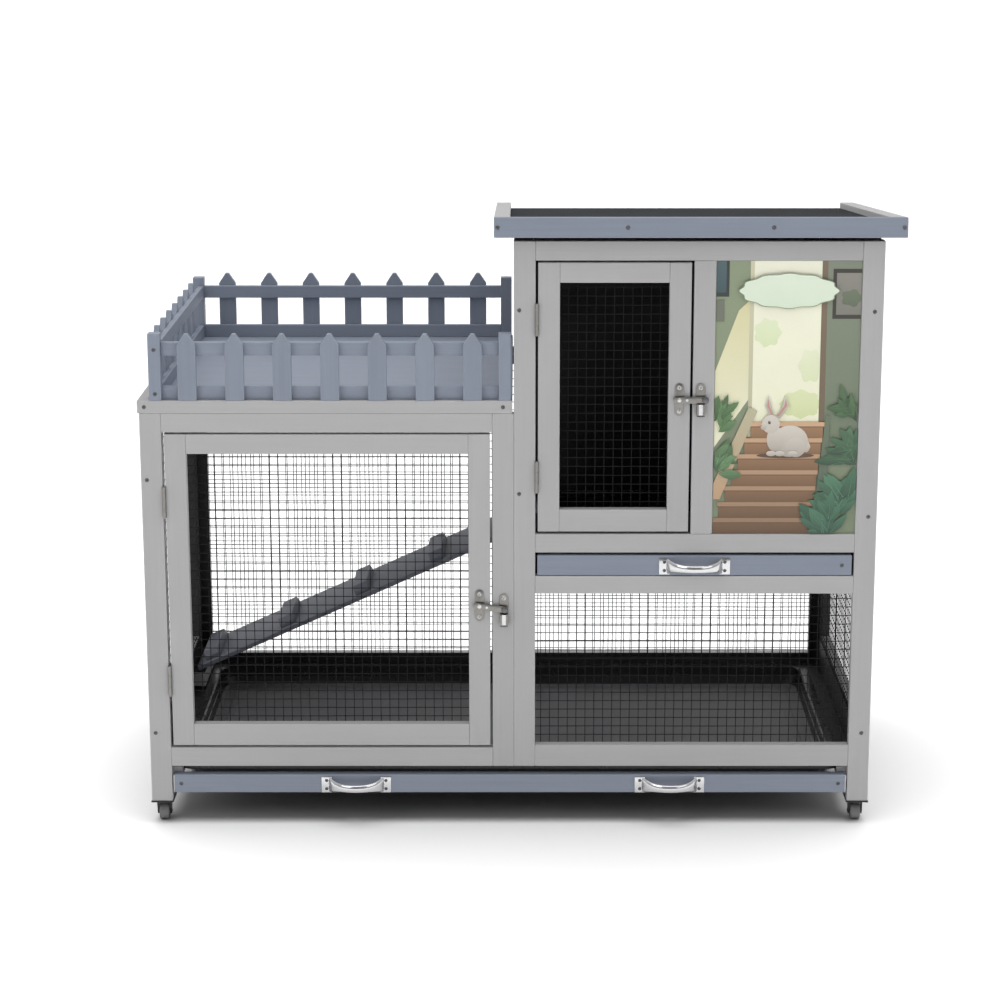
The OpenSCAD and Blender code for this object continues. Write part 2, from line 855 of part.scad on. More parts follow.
// A flat plate on the XZ plane with rounded ends
module round_end_plate(h) {
    r = latch_plate_w / 2;
    rotate([90, 0, 0])
        linear_extrude(plate_t) {
            square([latch_plate_w, h - latch_plate_w], center = true);
            translate([0, h / 2 - r]) circle(r = r);
            translate([0, r - h / 2]) circle(r = r);
        }
}

// Plate with its screws, and the rivet that carries the arm
module latch_plate() {
    screw_z = (latch_plate_h - latch_plate_w) / 2;
    head_y = -plate_t - latch_screw_h;
    round_end_plate(latch_plate_h);
    for (z = [-screw_z, screw_z])
        peg(0, z, screw_r, head_y, -plate_t);
    peg(0, 0, rivet_boss_r, arm_y + arm_t + running_gap, -plate_t);
    peg(0, 0, rivet_r, arm_y - 1, -plate_t);
    peg(0, 0, rivet_boss_r, arm_y - 1 - running_gap, arm_y - running_gap);
}

module latch_arm() {
    r = latch_arm_h / 2;
    tip_x = latch_reach - knob_r;
    difference() {
        union() {
            block([-arm_lead, arm_y, -r], [tip_x, arm_y + arm_t, r]);
            peg(-arm_lead, 0, r, arm_y, arm_y + arm_t);
            peg(tip_x, 0, r, arm_y, arm_y + arm_t);
            peg(tip_x, 0, knob_r, arm_y - 3, arm_y + arm_t);
        }
        peg(0, 0, rivet_r + running_gap, arm_y - 4, 0);
    }
}

// Keeper: a screwed plate whose folded lower end carries the arm
module keeper(drop) {
    half = latch_plate_w / 2;
    top = -latch_arm_h / 2 - keeper_gap - drop;
    low = -latch_plate_h / 2 - drop;
    screw_z = latch_plate_h / 2 - half;
    translate([0, 0, -drop]) {
        intersection() {
            round_end_plate(latch_plate_h);
            block([-half, -plate_t, -latch_arm_h], [half, 0, latch_plate_h]);
        }
        peg(0, screw_z, screw_r, -plate_t - latch_screw_h, -plate_t);
    }
    block([-half, -plate_t, low], [half, 0, -latch_arm_h / 2 - drop]);
    block([-half, keeper_lip_y, top - plate_t], [half, -plate_t, top]);
    block([-half, keeper_lip_y, low], [half, keeper_lip_y + plate_t, top]);
    block([-half, keeper_lip_y, low], [half, -plate_t, low + plate_t]);
}

module upper_latch_plate() {
    color(zinc) hutch() translate([upper_latch_x, 0, upper_latch_z]) latch_plate();
}

module upper_latch_arm() {
    color(zinc) hutch() translate([upper_latch_x, 0, upper_latch_z]) latch_arm();
}

module lower_latch_plate() {
    color(zinc) hutch() translate([lower_latch_x, 0, lower_latch_z]) latch_plate();
}

module lower_latch_arm() {
    color(zinc) hutch()
        translate([lower_latch_x, 0, lower_latch_z])
            rotate([0, lower_latch_tilt, 0])
                latch_arm();
}

module latch_keepers() {
    arm_low = (1 / cos(lower_latch_tilt) - 1) * latch_arm_h / 2;
    reach = lower_keeper_x + latch_plate_w / 2 - lower_latch_x;
    color(zinc) hutch() {
        translate([upper_keeper_x, 0, upper_latch_z]) keeper(0);
        translate([lower_keeper_x, 0, lower_latch_z])
            keeper(reach * tan(lower_latch_tilt) + arm_low);
    }
}

// ---- Trays ----

// A rectangle with round corners
module round_rectangle(x0, y0, x1, y1, r) {
    translate([x0 + r, y0]) square([x1 - x0 - 2 * r, y1 - y0]);
    translate([x0, y0 + r]) square([x1 - x0, y1 - y0 - 2 * r]);
    for (x = [x0 + r, x1 - r], y = [y0 + r, y1 - r])
        translate([x, y]) circle(r = r);
}

// A plastic pan with a flat rim, between two opposite corners
module pan(low, high, rim) {
    x0 = low[0];
    y0 = low[1];
    x1 = high[0];
    y1 = high[1];
    inner = rim + pan_wall;
    difference() {
        union() {
            translate([0, 0, low[2]])
                linear_extrude(high[2] - low[2])
                    round_rectangle(x0 + rim, y0 + rim, x1 - rim, y1 - rim, pan_corner_r);
            translate([0, 0, high[2] - pan_rim_t])
                linear_extrude(pan_rim_t)
                    round_rectangle(x0, y0, x1, y1, pan_corner_r);
        }
        translate([0, 0, low[2] + pan_wall])
            linear_extrude(high[2] - low[2])
                round_rectangle(x0 + inner, y0 + inner, x1 - inner, y1 - inner,
                    pan_corner_r - pan_wall);
    }
}

module lower_tray_pan() {
    color("black") hutch()
        pan([lower_front_x0 + 2, board_t, pan_top - lower_pan_h],
            [lower_front_x1 - 2, lower_pan_back, pan_top], pan_rim_w);
}

module upper_tray_pan() {
    low = floor_z + slide_gap;
    color("black") hutch()
        pan([upper_front_x0 + 2, board_t, low],
            [upper_front_x1 - 2, upper_pan_back, low + upper_pan_h], upper_rim_w);
}

module lower_tray_front() {
    color(blue_grey) hutch()
        block([lower_front_x0, 0, lower_front_z],
            [lower_front_x1, board_t - touch_gap, lower_front_z + lower_front_h]);
}

module upper_tray_front() {
    color(blue_grey) hutch()
        block([upper_front_x0, 0, upper_front_z],
            [upper_front_x1, board_t - touch_gap, upper_front_z + upper_front_h]);
}

// A bow handle on two screwed plates, centred on the front board's face
module handle() {
    plate_x = (handle_len - handle_plate_w) / 2;
    screw_up = handle_plate_h / 4;
    for (side = [-1, 1]) {
        block([side * plate_x - handle_plate_w / 2, -plate_t, -handle_plate_h / 2],
            [side * plate_x + handle_plate_w / 2, 0, handle_plate_h / 2]);
        for (z = [-screw_up, screw_up])
            peg(side * plate_x, z, screw_r * 0.8, -plate_t - latch_screw_h, -plate_t);
    }
    intersection() {
        translate([0, bow_r - bow_rise - plate_t, 0])
            rotate([0, 0, -90 - bow_angle - 5])
                rotate_extrude(angle = 2 * bow_angle + 10)
                    translate([bow_r, 0]) circle(r = handle_bar_r, $fn = 24);
        block([-handle_len, -2 * handle_reach, -handle_plate_h], [handle_len, -plate_t / 2, handle_plate_h]);
    }
}

module lower_tray_handles() {
    screw_in = 10;
    screw_z = lower_front_z + lower_front_h / 2;
    color("gainsboro") hutch() {
        for (x = [lower_front_x0 + lower_handle_left_in, lower_front_x1 - lower_handle_right_in])
            translate([x, 0, lower_handle_z]) handle();
        for (x = [lower_front_x0 + screw_in, lower_front_x1 - screw_in])
            peg(x, screw_z, screw_r, -screw_h, 0);
    }
}

module upper_tray_handle() {
    screw_in = 14;
    color("gainsboro") hutch() {
        translate([(upper_front_x0 + upper_front_x1) / 2, 0, upper_handle_z]) handle();
        peg(upper_front_x1 - screw_in, upper_front_z + upper_front_h / 2, screw_r, -screw_h, 0);
    }
}

// ---- Casters: each is drawn round its swivel axis, with the wheel trailing to +Y ----

fork_in = wheel_w / 2 + fork_gap;
fork_out = fork_in + fork_t;
fork_top_z = caster_h - caster_plate_t - 0.3;
fork_top_t = 4;
pin_head_r = 4.5;
pin_head_t = 1.2;

module caster_plate() {
    head_z = fork_top_z - fork_top_t - 0.3 - pin_head_t;
    translate([0, 0, caster_h - caster_plate_t / 2])
        cube([caster_plate_w, caster_plate_d, caster_plate_t], center = true);
    translate([0, 0, head_z])
        cylinder(r = kingpin_r, h = caster_h - caster_plate_t - head_z);
    translate([0, 0, head_z])
        cylinder(r = pin_head_r, h = pin_head_t);
}

module caster_fork() {
    cheek_r = 5;
    low = fork_top_z - fork_top_t;
    difference() {
        translate([0, 0, low]) cylinder(r = fork_top_r, h = fork_top_t);
        translate([0, 0, low - 1]) cylinder(r = kingpin_r + running_gap, h = fork_top_t + 2);
    }
    for (side = [-fork_out, fork_in]) difference() {
        side_shape(side, side + fork_t) {
            polygon([[-4, low + 1], [9, low + 1], [caster_trail + cheek_r, wheel_r],
                [caster_trail - cheek_r, wheel_r]]);
            translate([caster_trail, wheel_r]) circle(r = cheek_r);
        }
        side_shape(side - 1, side + fork_t + 1)
            translate([caster_trail, wheel_r]) circle(r = axle_r + running_gap);
    }
    side_shape(-fork_out - 0.8, fork_out + 0.8)
        translate([caster_trail, wheel_r]) circle(r = axle_r);
}

module caster_wheel() {
    side_shape(-wheel_w / 2, wheel_w / 2) difference() {
        translate([caster_trail, wheel_r]) circle(r = wheel_r, $fn = 64);
        translate([caster_trail, wheel_r]) circle(r = axle_r + running_gap);
    }
}

module at_caster(i, j) {
    hutch()
        translate([caster_xs[i], caster_ys[j], 0])
            children();
}

module caster_plates() {
    color("dimgray") for (i = [0, 1], j = [0, 1]) at_caster(i, j) caster_plate();
}

module caster_fork_front_left() {
    color("dimgray") at_caster(0, 0) caster_fork();
}

module caster_fork_front_right() {
    color("dimgray") at_caster(1, 0) caster_fork();
}

module caster_fork_back_left() {
    color("dimgray") at_caster(0, 1) caster_fork();
}

module caster_fork_back_right() {
    color("dimgray") at_caster(1, 1) caster_fork();
}

module caster_wheel_front_left() {
    color("gray") at_caster(0, 0) caster_wheel();
}

module caster_wheel_front_right() {
    color("gray") at_caster(1, 0) caster_wheel();
}

module caster_wheel_back_left() {
    color("gray") at_caster(0, 1) caster_wheel();
}

module caster_wheel_back_right() {
    color("gray") at_caster(1, 1) caster_wheel();
}

// ---- Screw heads on the front faces ----

module frame_screws() {
    edge_in = 8.5;
    low_z = frame_low + 50;
    right_screw_x = total_w - 12;
    deck_z = run_top + deck_t / 2;
    post_x = fence_in + post_w / 2;
    spots = [
        [edge_in, low_z], [edge_in, run_top - 95],
        [cabin_x + edge_in - 1, floor_z + 119], [cabin_x + edge_in - 1, cabin_top - 96],
        [right_screw_x, low_z], [right_screw_x, floor_z + 86], [right_screw_x, cabin_top - 98],
        [edge_in - 1, deck_z], [deck_right - 13, deck_z],
        [post_x, deck_top + fence_rail_h / 2],
        [post_x, deck_top + fence_rail_up + fence_rail_h / 2]
    ];
    color("dimgray") hutch()
        for (spot = spots)
            peg(spot[0], spot[1], screw_r, -screw_h, 0);
}

front_legs();
back_posts();
run_inner_stile();
cabin_posts();
run_front_rails();
cabin_front_rails();
back_rails();
side_stiles();
side_rails();
run_meshes();
cabin_back_wall();
cabin_side_walls();
cabin_floor();
picture_panel();
deck_floor();
deck_edges();
fence_posts();
fence_rails();
fence_pickets();
tray_runners();
ramp_plank();
ramp_cleats();
latch_keepers();
door_hinge_frame_leaves();
roof_hinge_frame_leaves();
caster_plates();
frame_screws();
roof_panel();
roof_felt();
roof_fascia();
roof_rims();
roof_battens();
roof_hardware();
upper_door_stiles();
upper_door_rails();
upper_door_mesh();
upper_door_hinge_leaves();
upper_latch_plate();
upper_latch_arm();
lower_door_stiles();
lower_door_rails();
lower_door_mesh();
lower_door_hinge_leaves();
lower_latch_plate();
lower_latch_arm();
upper_tray_pan();
upper_tray_front();
upper_tray_handle();
lower_tray_pan();
lower_tray_front();
lower_tray_handles();
caster_fork_front_left();
caster_fork_front_right();
caster_fork_back_left();
caster_fork_back_right();
caster_wheel_front_left();
caster_wheel_front_right();
caster_wheel_back_left();
caster_wheel_back_right();
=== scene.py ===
"""Builds the look of a two-level rabbit hutch round its fixed frame: painted boards, welded
wire, roofing felt, plastic pans, hinges, latches, handles, casters and a plain stage."""

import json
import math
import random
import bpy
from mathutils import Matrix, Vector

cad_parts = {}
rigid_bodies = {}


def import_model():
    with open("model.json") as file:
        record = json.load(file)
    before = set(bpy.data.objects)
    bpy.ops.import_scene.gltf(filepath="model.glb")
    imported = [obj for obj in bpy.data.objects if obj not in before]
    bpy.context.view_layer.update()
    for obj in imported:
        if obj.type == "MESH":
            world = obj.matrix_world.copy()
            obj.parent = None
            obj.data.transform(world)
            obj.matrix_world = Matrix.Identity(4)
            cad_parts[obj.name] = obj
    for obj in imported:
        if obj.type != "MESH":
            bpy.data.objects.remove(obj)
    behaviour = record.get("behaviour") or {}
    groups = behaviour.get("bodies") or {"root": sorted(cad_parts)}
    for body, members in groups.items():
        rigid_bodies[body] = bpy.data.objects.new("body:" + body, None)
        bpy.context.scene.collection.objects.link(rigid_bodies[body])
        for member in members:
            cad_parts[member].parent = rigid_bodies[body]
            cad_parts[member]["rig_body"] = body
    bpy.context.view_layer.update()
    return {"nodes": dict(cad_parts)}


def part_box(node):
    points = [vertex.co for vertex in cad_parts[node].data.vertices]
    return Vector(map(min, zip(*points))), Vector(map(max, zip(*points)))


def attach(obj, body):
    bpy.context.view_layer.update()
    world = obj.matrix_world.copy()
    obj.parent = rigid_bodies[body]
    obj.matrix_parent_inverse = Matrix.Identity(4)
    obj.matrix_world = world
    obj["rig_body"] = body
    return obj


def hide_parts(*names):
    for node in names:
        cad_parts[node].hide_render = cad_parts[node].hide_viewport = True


bl_info = {
    "name": "Two-level rabbit hutch",
    "version": (1, 0, 0),
    "blender": (4, 5, 0),
    "location": "View3D > Sidebar > Hutch",
    "description": "Builds a rabbit hutch from its fixed frame, piece by piece",
    "category": "Add Mesh",
}

import bmesh
import bpy
from bpy.props import FloatProperty, FloatVectorProperty, PointerProperty
from mathutils import Matrix, Vector

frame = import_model()
NODES = frame["nodes"]
FRONT_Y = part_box("front_legs")[0].y
MERGE = 1e-6
SCREW_SINK = 0.0003
X, Y, Z = Vector((1, 0, 0)), Vector((0, 1, 0)), Vector((0, 0, 1))
GREY_PAINT = ("light_grey_paint", "light_grey_paint")
BLUE_PAINT = ("blue_grey_paint", "blue_grey_paint")


# ---- Sizes, colours and light that a user may change ----


def length(name, description, default):
    return FloatProperty(
        name=name, description=description, default=default, min=0, subtype="DISTANCE", unit="LENGTH"
    )


def colour(name, description, default):
    return FloatVectorProperty(
        name=name, description=description, default=default, min=0, max=1, size=3, subtype="COLOR"
    )


def amount(name, description, default):
    return FloatProperty(name=name, description=description, default=default, min=0)


class HutchSizes(bpy.types.PropertyGroup):
    """Small sizes that the frame leaves open."""

    board_rounding: length("Board rounding", "Radius of the painted boards' edges", 0.0011)
    panel_rounding: length("Panel rounding", "Radius of thin panels' and pickets' edges", 0.0008)
    metal_rounding: length("Metal rounding", "Radius of pressed metal edges", 0.00025)
    wire_pitch: length("Wire pitch", "Distance between wires of the welded mesh", 0.0127)
    wire_radius: length("Wire radius", "Radius of a wire", 0.0006)
    wire_wander: length("Wire wander", "How far a wire strays from straight", 0.00022)
    screw_radius: length("Screw radius", "Radius of a screw head", 0.0031)
    pan_draft: length("Pan draft", "How far a pan's walls lean in over their height", 0.008)


class HutchColours(bpy.types.PropertyGroup):
    """Base colours of the finishes."""

    light_grey: colour("Light grey", "Paint on the frame, doors and rims", (0.392, 0.389, 0.392))
    blue_grey: colour("Blue grey", "Paint on the fence, deck, fascia and tray fronts", (0.215, 0.243, 0.302))
    # Painted shade, not wear: the ramp's blue-grey paint made darker for the deck's shadow over it.
    ramp: colour("Ramp", "Worn paint on the ramp", (0.165, 0.174, 0.205))
    # Painted shade, not a stain: this near-black colour stands for the shade inside the cabin, inside the run and
    # under the roof.
    inside: colour("Cabin inside", "Dark stain inside the cabin", (0.018, 0.017, 0.019))
    bare_wood: colour("Bare wood", "Battens and the roof panel's underside", (0.42, 0.30, 0.18))
    wire: colour("Wire", "Coated wire", (0.009, 0.009, 0.010))
    felt: colour("Felt", "Roofing felt", (0.029, 0.031, 0.035))
    pan: colour("Pan", "Glossy walls of the plastic pans", (0.013, 0.013, 0.014))
    # Painted light: the pans' floor is the same black plastic as their walls, made lighter where it faces up; its
    # grain and roughness are real.
    pan_floor_painted_light: colour("Pan floor", "Grained floor of the plastic pans", (0.150, 0.146, 0.152))
    zinc: colour("Zinc", "Hinges and latches", (0.25, 0.24, 0.225))
    steel: colour("Dark steel", "Screws", (0.16, 0.16, 0.165))
    chrome: colour("Chrome", "Handles", (0.62, 0.62, 0.63))
    caster: colour("Caster metal", "Casters' plates and forks", (0.016, 0.016, 0.017))
    rubber: colour("Wheel", "Caster wheels", (0.17, 0.165, 0.17))
    floor: colour("Floor", "Studio floor", (0.35, 0.35, 0.35))


class HutchLight(bpy.types.PropertyGroup):
    """Strength of the studio's lights."""

    sky: amount("Sky", "Strength of the light from all round", 0.80)
    key: amount("Key", "Strength of the soft light at the front left, in watts", 32.0)
    fill: amount("Fill", "Strength of the soft light at the front right, in watts", 19.0)
    top: amount("Top", "Strength of the soft light overhead, in watts", 38.0)
    wash: amount("Floor wash", "Strength of the light that falls on the floor alone", 8.5)


SETTINGS = {"hutch_sizes": HutchSizes, "hutch_colours": HutchColours, "hutch_light": HutchLight}


# ---- Shader groups and finishes ----


def new_group(name, **values):
    """A shader group: a vector, a colour and named values go in; colour, roughness and height come out."""
    tree = bpy.data.node_groups.new(name, "ShaderNodeTree")
    inputs = [("Vector", "Vector"), ("Colour", "Color")] + [(socket_label(key), "Float") for key in values]
    outputs = [("Colour", "Color"), ("Roughness", "Float"), ("Height", "Float")]
    defaults = {socket_label(key): value for key, value in values.items()}
    for in_out, sockets in (("INPUT", inputs), ("OUTPUT", outputs)):
        for label, kind in sockets:
            socket = tree.interface.new_socket(name=label, in_out=in_out, socket_type="NodeSocket" + kind)
            if label in defaults:
                socket.default_value = defaults[label]
    return tree, tree.nodes.new("NodeGroupInput").outputs, tree.nodes.new("NodeGroupOutput").inputs


def socket_label(key):
    return key.replace("_", " ").capitalize()


def put(tree, socket, value):
    if isinstance(value, bpy.types.NodeSocket):
        tree.links.new(value, socket)
    else:
        socket.default_value = value


def maths(tree, operation, *values):
    node = tree.nodes.new("ShaderNodeMath")
    node.operation = operation
    for socket, value in zip(node.inputs, values):
        put(tree, socket, value)
    return node.outputs[0]


def noise(tree, vector, stretch, detail=3.0, roughness=0.55, distortion=0.0):
    """Noise whose features are 1 / stretch across, around zero."""
    mapping = tree.nodes.new("ShaderNodeMapping")
    put(tree, mapping.inputs["Vector"], vector)
    mapping.inputs["Scale"].default_value = stretch
    node = tree.nodes.new("ShaderNodeTexNoise")
    put(tree, node.inputs["Vector"], mapping.outputs["Vector"])
    node.inputs["Scale"].default_value = 1.0
    node.inputs["Detail"].default_value = detail
    node.inputs["Roughness"].default_value = roughness
    node.inputs["Distortion"].default_value = distortion
    return maths(tree, "SUBTRACT", node.outputs["Fac"], 0.5)


def scaled_colour(tree, base, factor):
    node = tree.nodes.new("ShaderNodeVectorMath")
    node.operation = "SCALE"
    put(tree, node.inputs[0], base)
    put(tree, node.inputs["Scale"], factor)
    return node.outputs["Vector"]


def paint_group():
    """Brushed paint over softwood: faint grain, cloudy tone, boards that differ, rubbed edges."""
    tree, given, made = new_group("painted_grain", tone=0.0, edge=0.0, grain=1.0)
    fine = noise(tree, given["Vector"], (520, 9, 1), detail=4, distortion=0.4)
    rings = noise(tree, given["Vector"], (95, 2.4, 1), detail=2, distortion=1.2)
    cloud = noise(tree, given["Vector"], (16, 5, 1), detail=2)
    grain = maths(tree, "ADD", maths(tree, "MULTIPLY", fine, 0.10), maths(tree, "MULTIPLY", rings, 0.10))
    factor = maths(tree, "MULTIPLY_ADD", grain, given["Grain"], 1.0)
    factor = maths(tree, "MULTIPLY_ADD", cloud, 0.12, factor)
    factor = maths(tree, "MULTIPLY_ADD", given["Tone"], 0.028, factor)
    factor = maths(tree, "MULTIPLY_ADD", given["Edge"], 0.07, factor)
    put(tree, made["Colour"], scaled_colour(tree, given["Colour"], factor))
    rough = maths(tree, "MULTIPLY_ADD", cloud, 0.25, 0.56)
    put(tree, made["Roughness"], maths(tree, "MULTIPLY_ADD", given["Edge"], -0.06, rough))
    height = maths(tree, "MULTIPLY_ADD", rings, 0.8, fine)
    put(tree, made["Height"], maths(tree, "MULTIPLY", height, given["Grain"]))
    return tree


def speckle_group():
    """Grains and smudges, for plastic, felt, rubber, wire and print."""
    tree, given, made = new_group("speckle", contrast=0.2, base_roughness=0.5)
    grains = noise(tree, given["Vector"], (1100, 1100, 1100), detail=2)
    smudge = noise(tree, given["Vector"], (14, 9, 14), detail=4)
    both = maths(tree, "MULTIPLY_ADD", smudge, 0.9, grains)
    factor = maths(tree, "MULTIPLY_ADD", both, given["Contrast"], 1.0)
    put(tree, made["Colour"], scaled_colour(tree, given["Colour"], factor))
    put(tree, made["Roughness"], maths(tree, "MULTIPLY_ADD", smudge, 0.3, given["Base roughness"]))
    put(tree, made["Height"], grains)
    return tree


def metal_group():
    """Plated metal with fine drawing lines and handling marks."""
    tree, given, made = new_group("plated_metal", wear=1.0, base_roughness=0.3)
    lines = noise(tree, given["Vector"], (220, 220, 2600), detail=2)
    marks = noise(tree, given["Vector"], (180, 180, 180), detail=4, roughness=0.65)
    worn = maths(tree, "MULTIPLY", marks, given["Wear"])
    factor = maths(tree, "MULTIPLY_ADD", worn, 0.5, 1.0)
    put(tree, made["Colour"], scaled_colour(tree, given["Colour"], factor))
    rough = maths(tree, "MULTIPLY_ADD", worn, 0.35, given["Base roughness"])
    put(tree, made["Roughness"], maths(tree, "MULTIPLY_ADD", lines, 0.10, rough))
    put(tree, made["Height"], lines)
    return tree


def finish(name, group, base, relief, metallic=0.0, specular=0.5, coords="Object", **values):
    """A material of one group, feeding a Principled shader; base is a colour or an attribute's name."""
    material = bpy.data.materials.new("hutch_" + name)
    material.use_nodes = True
    tree = material.node_tree
    shader = tree.nodes["Principled BSDF"]
    node = tree.nodes.new("ShaderNodeGroup")
    node.node_tree = bpy.data.node_groups[group]
    place = tree.nodes.new("ShaderNodeTexCoord")
    tree.links.new(place.outputs[coords], node.inputs["Vector"])
    if isinstance(base, str):
        link_attribute(tree, base, "Color", node.inputs["Colour"])
    else:
        node.inputs["Colour"].default_value = (*base, 1)
    if group == "painted_grain":
        for label in ("Tone", "Edge"):
            link_attribute(tree, label.lower(), "Fac", node.inputs[label])
    for label, value in values.items():
        node.inputs[socket_label(label)].default_value = value
    tree.links.new(node.outputs["Colour"], shader.inputs["Base Color"])
    tree.links.new(node.outputs["Roughness"], shader.inputs["Roughness"])
    bump = tree.nodes.new("ShaderNodeBump")
    bump.inputs["Strength"].default_value = 0.6
    bump.inputs["Distance"].default_value = relief
    tree.links.new(node.outputs["Height"], bump.inputs["Height"])
    tree.links.new(bump.outputs["Normal"], shader.inputs["Normal"])
    shader.inputs["Metallic"].default_value = metallic
    shader.inputs["Specular IOR Level"].default_value = specular


def link_attribute(tree, name, output, socket):
    attribute = tree.nodes.new("ShaderNodeAttribute")
    attribute.attribute_name = name
    tree.links.new(attribute.outputs[output], socket)


def material(name):
    return bpy.data.materials["hutch_" + name]


# ---- Mesh helpers ----


def linked(starts):
    """Every vertex that edges join to these."""
    found, stack = set(starts), list(starts)
    while stack:
        vert = stack.pop()
        fresh = {edge.other_vert(vert) for edge in vert.link_edges} - found
        found |= fresh
        stack.extend(fresh)
    return found


def islands(mesh):
    """The vertices of each separate solid, in order of place."""
    seen, found = set(), []
    for start in mesh.verts:
        if start not in seen:
            found.append(linked([start]))
            seen |= found[-1]
    return sorted(found, key=lambda g: tuple(round(c, 5) for c in middle(g)))


def faces_of(verts):
    return list({face for vert in verts for face in vert.link_faces})


def dress(verts, finish_index):
    """Gives the faces at these vertices one of the piece's finishes."""
    for face in faces_of(verts):
        face.material_index = finish_index


def pull(mesh, faces, vec):
    """Extrudes faces by a vector, and gives the moved vertices."""
    made = bmesh.ops.extrude_face_region(mesh, geom=faces)["geom"]
    moved = [g for g in made if isinstance(g, bmesh.types.BMVert)]
    bmesh.ops.translate(mesh, vec=vec, verts=moved)
    return moved


def span(verts):
    points = [getattr(v, "co", v) for v in verts]
    low = Vector([min(p[i] for p in points) for i in range(3)])
    high = Vector([max(p[i] for p in points) for i in range(3)])
    return low, high


def middle(verts):
    low, high = span(verts)
    return (low + high) / 2


def merged(node):
    """A copy of a frame node's mesh, with its triangles merged into whole faces."""
    mesh = bmesh.new()
    mesh.from_mesh(NODES[node].data)
    bmesh.ops.remove_doubles(mesh, verts=mesh.verts, dist=MERGE)
    bmesh.ops.dissolve_limit(mesh, angle_limit=math.radians(0.5), verts=mesh.verts, edges=mesh.edges)
    return mesh


def solid_boxes(node):
    """Lowest and highest corner of each separate solid in a node."""
    mesh = merged(node)
    found = [span(group) for group in islands(mesh)]
    mesh.free()
    return found


def round_edges(mesh, radius, segments=2, edges=None):
    """Rounds sharp edges and marks the new faces as edge faces."""
    sharp = [e for e in (edges or mesh.edges) if e.is_manifold and e.calc_face_angle(0) > 0.5]
    edge_layer = mesh.faces.layers.float.get("edge")
    made = bmesh.ops.bevel(
        mesh, geom=sharp, offset=radius, offset_type="OFFSET", segments=segments, profile=0.5,
        affect="EDGES", material=-1, clamp_overlap=True,
    )
    for face in made["faces"]:
        face.smooth = True
        if edge_layer is not None:
            face[edge_layer] = 1.0


def finish_piece(name, mesh, materials, body, slot, *nodes, smooth=None):
    """Makes the piece, sets its finish, and hangs it on its body."""
    data = bpy.data.meshes.new(name)
    mesh.to_mesh(data)
    mesh.free()
    for each in materials:
        data.materials.append(material(each))
    if smooth is not None:
        data.polygons.foreach_set("use_smooth", [True] * len(data.polygons))
        data.set_sharp_from_angle(angle=math.radians(smooth))
    piece = bpy.data.objects.new(name, data)
    bpy.context.scene.collection.objects.link(piece)
    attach(piece, body)
    if nodes:
        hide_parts(*nodes)


def body_of(node):
    return NODES[node]["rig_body"]


def lay_grain(mesh, turn, seed):
    """Runs each board's grain along its length, and gives each board a tone of its own."""
    grain = mesh.loops.layers.uv["grain"]
    tone = mesh.faces.layers.float["tone"]
    dice = random.Random(seed)
    for group in islands(mesh):
        local = {vert: turn @ vert.co for vert in group}
        low, high = span(local.values())
        size = high - low
        along = max(range(3), key=lambda i: size[i])
        shift = Vector((dice.uniform(0, 3), dice.uniform(0, 3)))
        shade = dice.uniform(-1, 1)
        for face in faces_of(group):
            face[tone] = shade
            normal = turn @ face.normal
            facing = max(range(3), key=lambda i: abs(normal[i]))
            across, down = [i for i in range(3) if i != facing]
            if across == along:
                across, down = down, across
            for loop in face.loops:
                spot = local[loop.vert]
                loop[grain].uv = (spot[across] + shift.x + facing * 0.37, spot[down] + shift.y)


def boards(node, finish_name, slot, rounding, turn=None, painted_shade_faces=None):
    """Painted boards from a frame node: rounded edges and grain along each board, and painted shade on the faces
    that the given test picks.
    """
    mesh = merged(node)
    mesh.loops.layers.uv.new("grain")
    mesh.faces.layers.float.new("tone")
    mesh.faces.layers.float.new("edge")
    round_edges(mesh, rounding)
    lay_grain(mesh, turn or Matrix.Identity(3), node)
    materials = [finish_name]
    # faces that the test picks get the near-black painted shade finish
    if painted_shade_faces:
        materials.append("painted_shade")
        for face in mesh.faces:
            if painted_shade_faces(face.calc_center_median(), face.normal):
                face.material_index = 1
    finish_piece("painted_" + node, mesh, materials, body_of(node), slot, node)


def cuboid(mesh, low, high):
    """A block between two corners."""
    low, high = Vector(low), Vector(high)
    place = Matrix.Translation((low + high) / 2) @ Matrix.Diagonal((*(high - low), 1))
    return bmesh.ops.create_cube(mesh, size=1, matrix=place)["verts"]


def rod(mesh, start, end, radius, segments):
    """A round bar between two points."""
    start, end = Vector(start), Vector(end)
    turn = (end - start).to_track_quat("Z", "Y").to_matrix().to_4x4()
    return bmesh.ops.create_cone(
        mesh, cap_ends=True, segments=segments, radius1=radius, radius2=radius,
        depth=(end - start).length, matrix=Matrix.Translation((start + end) / 2) @ turn,
    )["verts"]


def copy_in(mesh, template, place):
    """Adds a copy of a template mesh at a place."""
    before = set(mesh.verts)
    mesh.from_mesh(template)
    fresh = [vert for vert in mesh.verts if vert not in before]
    bmesh.ops.transform(mesh, matrix=place, verts=fresh)
    return fresh


def as_template(mesh, name):
    data = bpy.data.meshes.new(name)
    mesh.to_mesh(data)
    mesh.free()
    return data


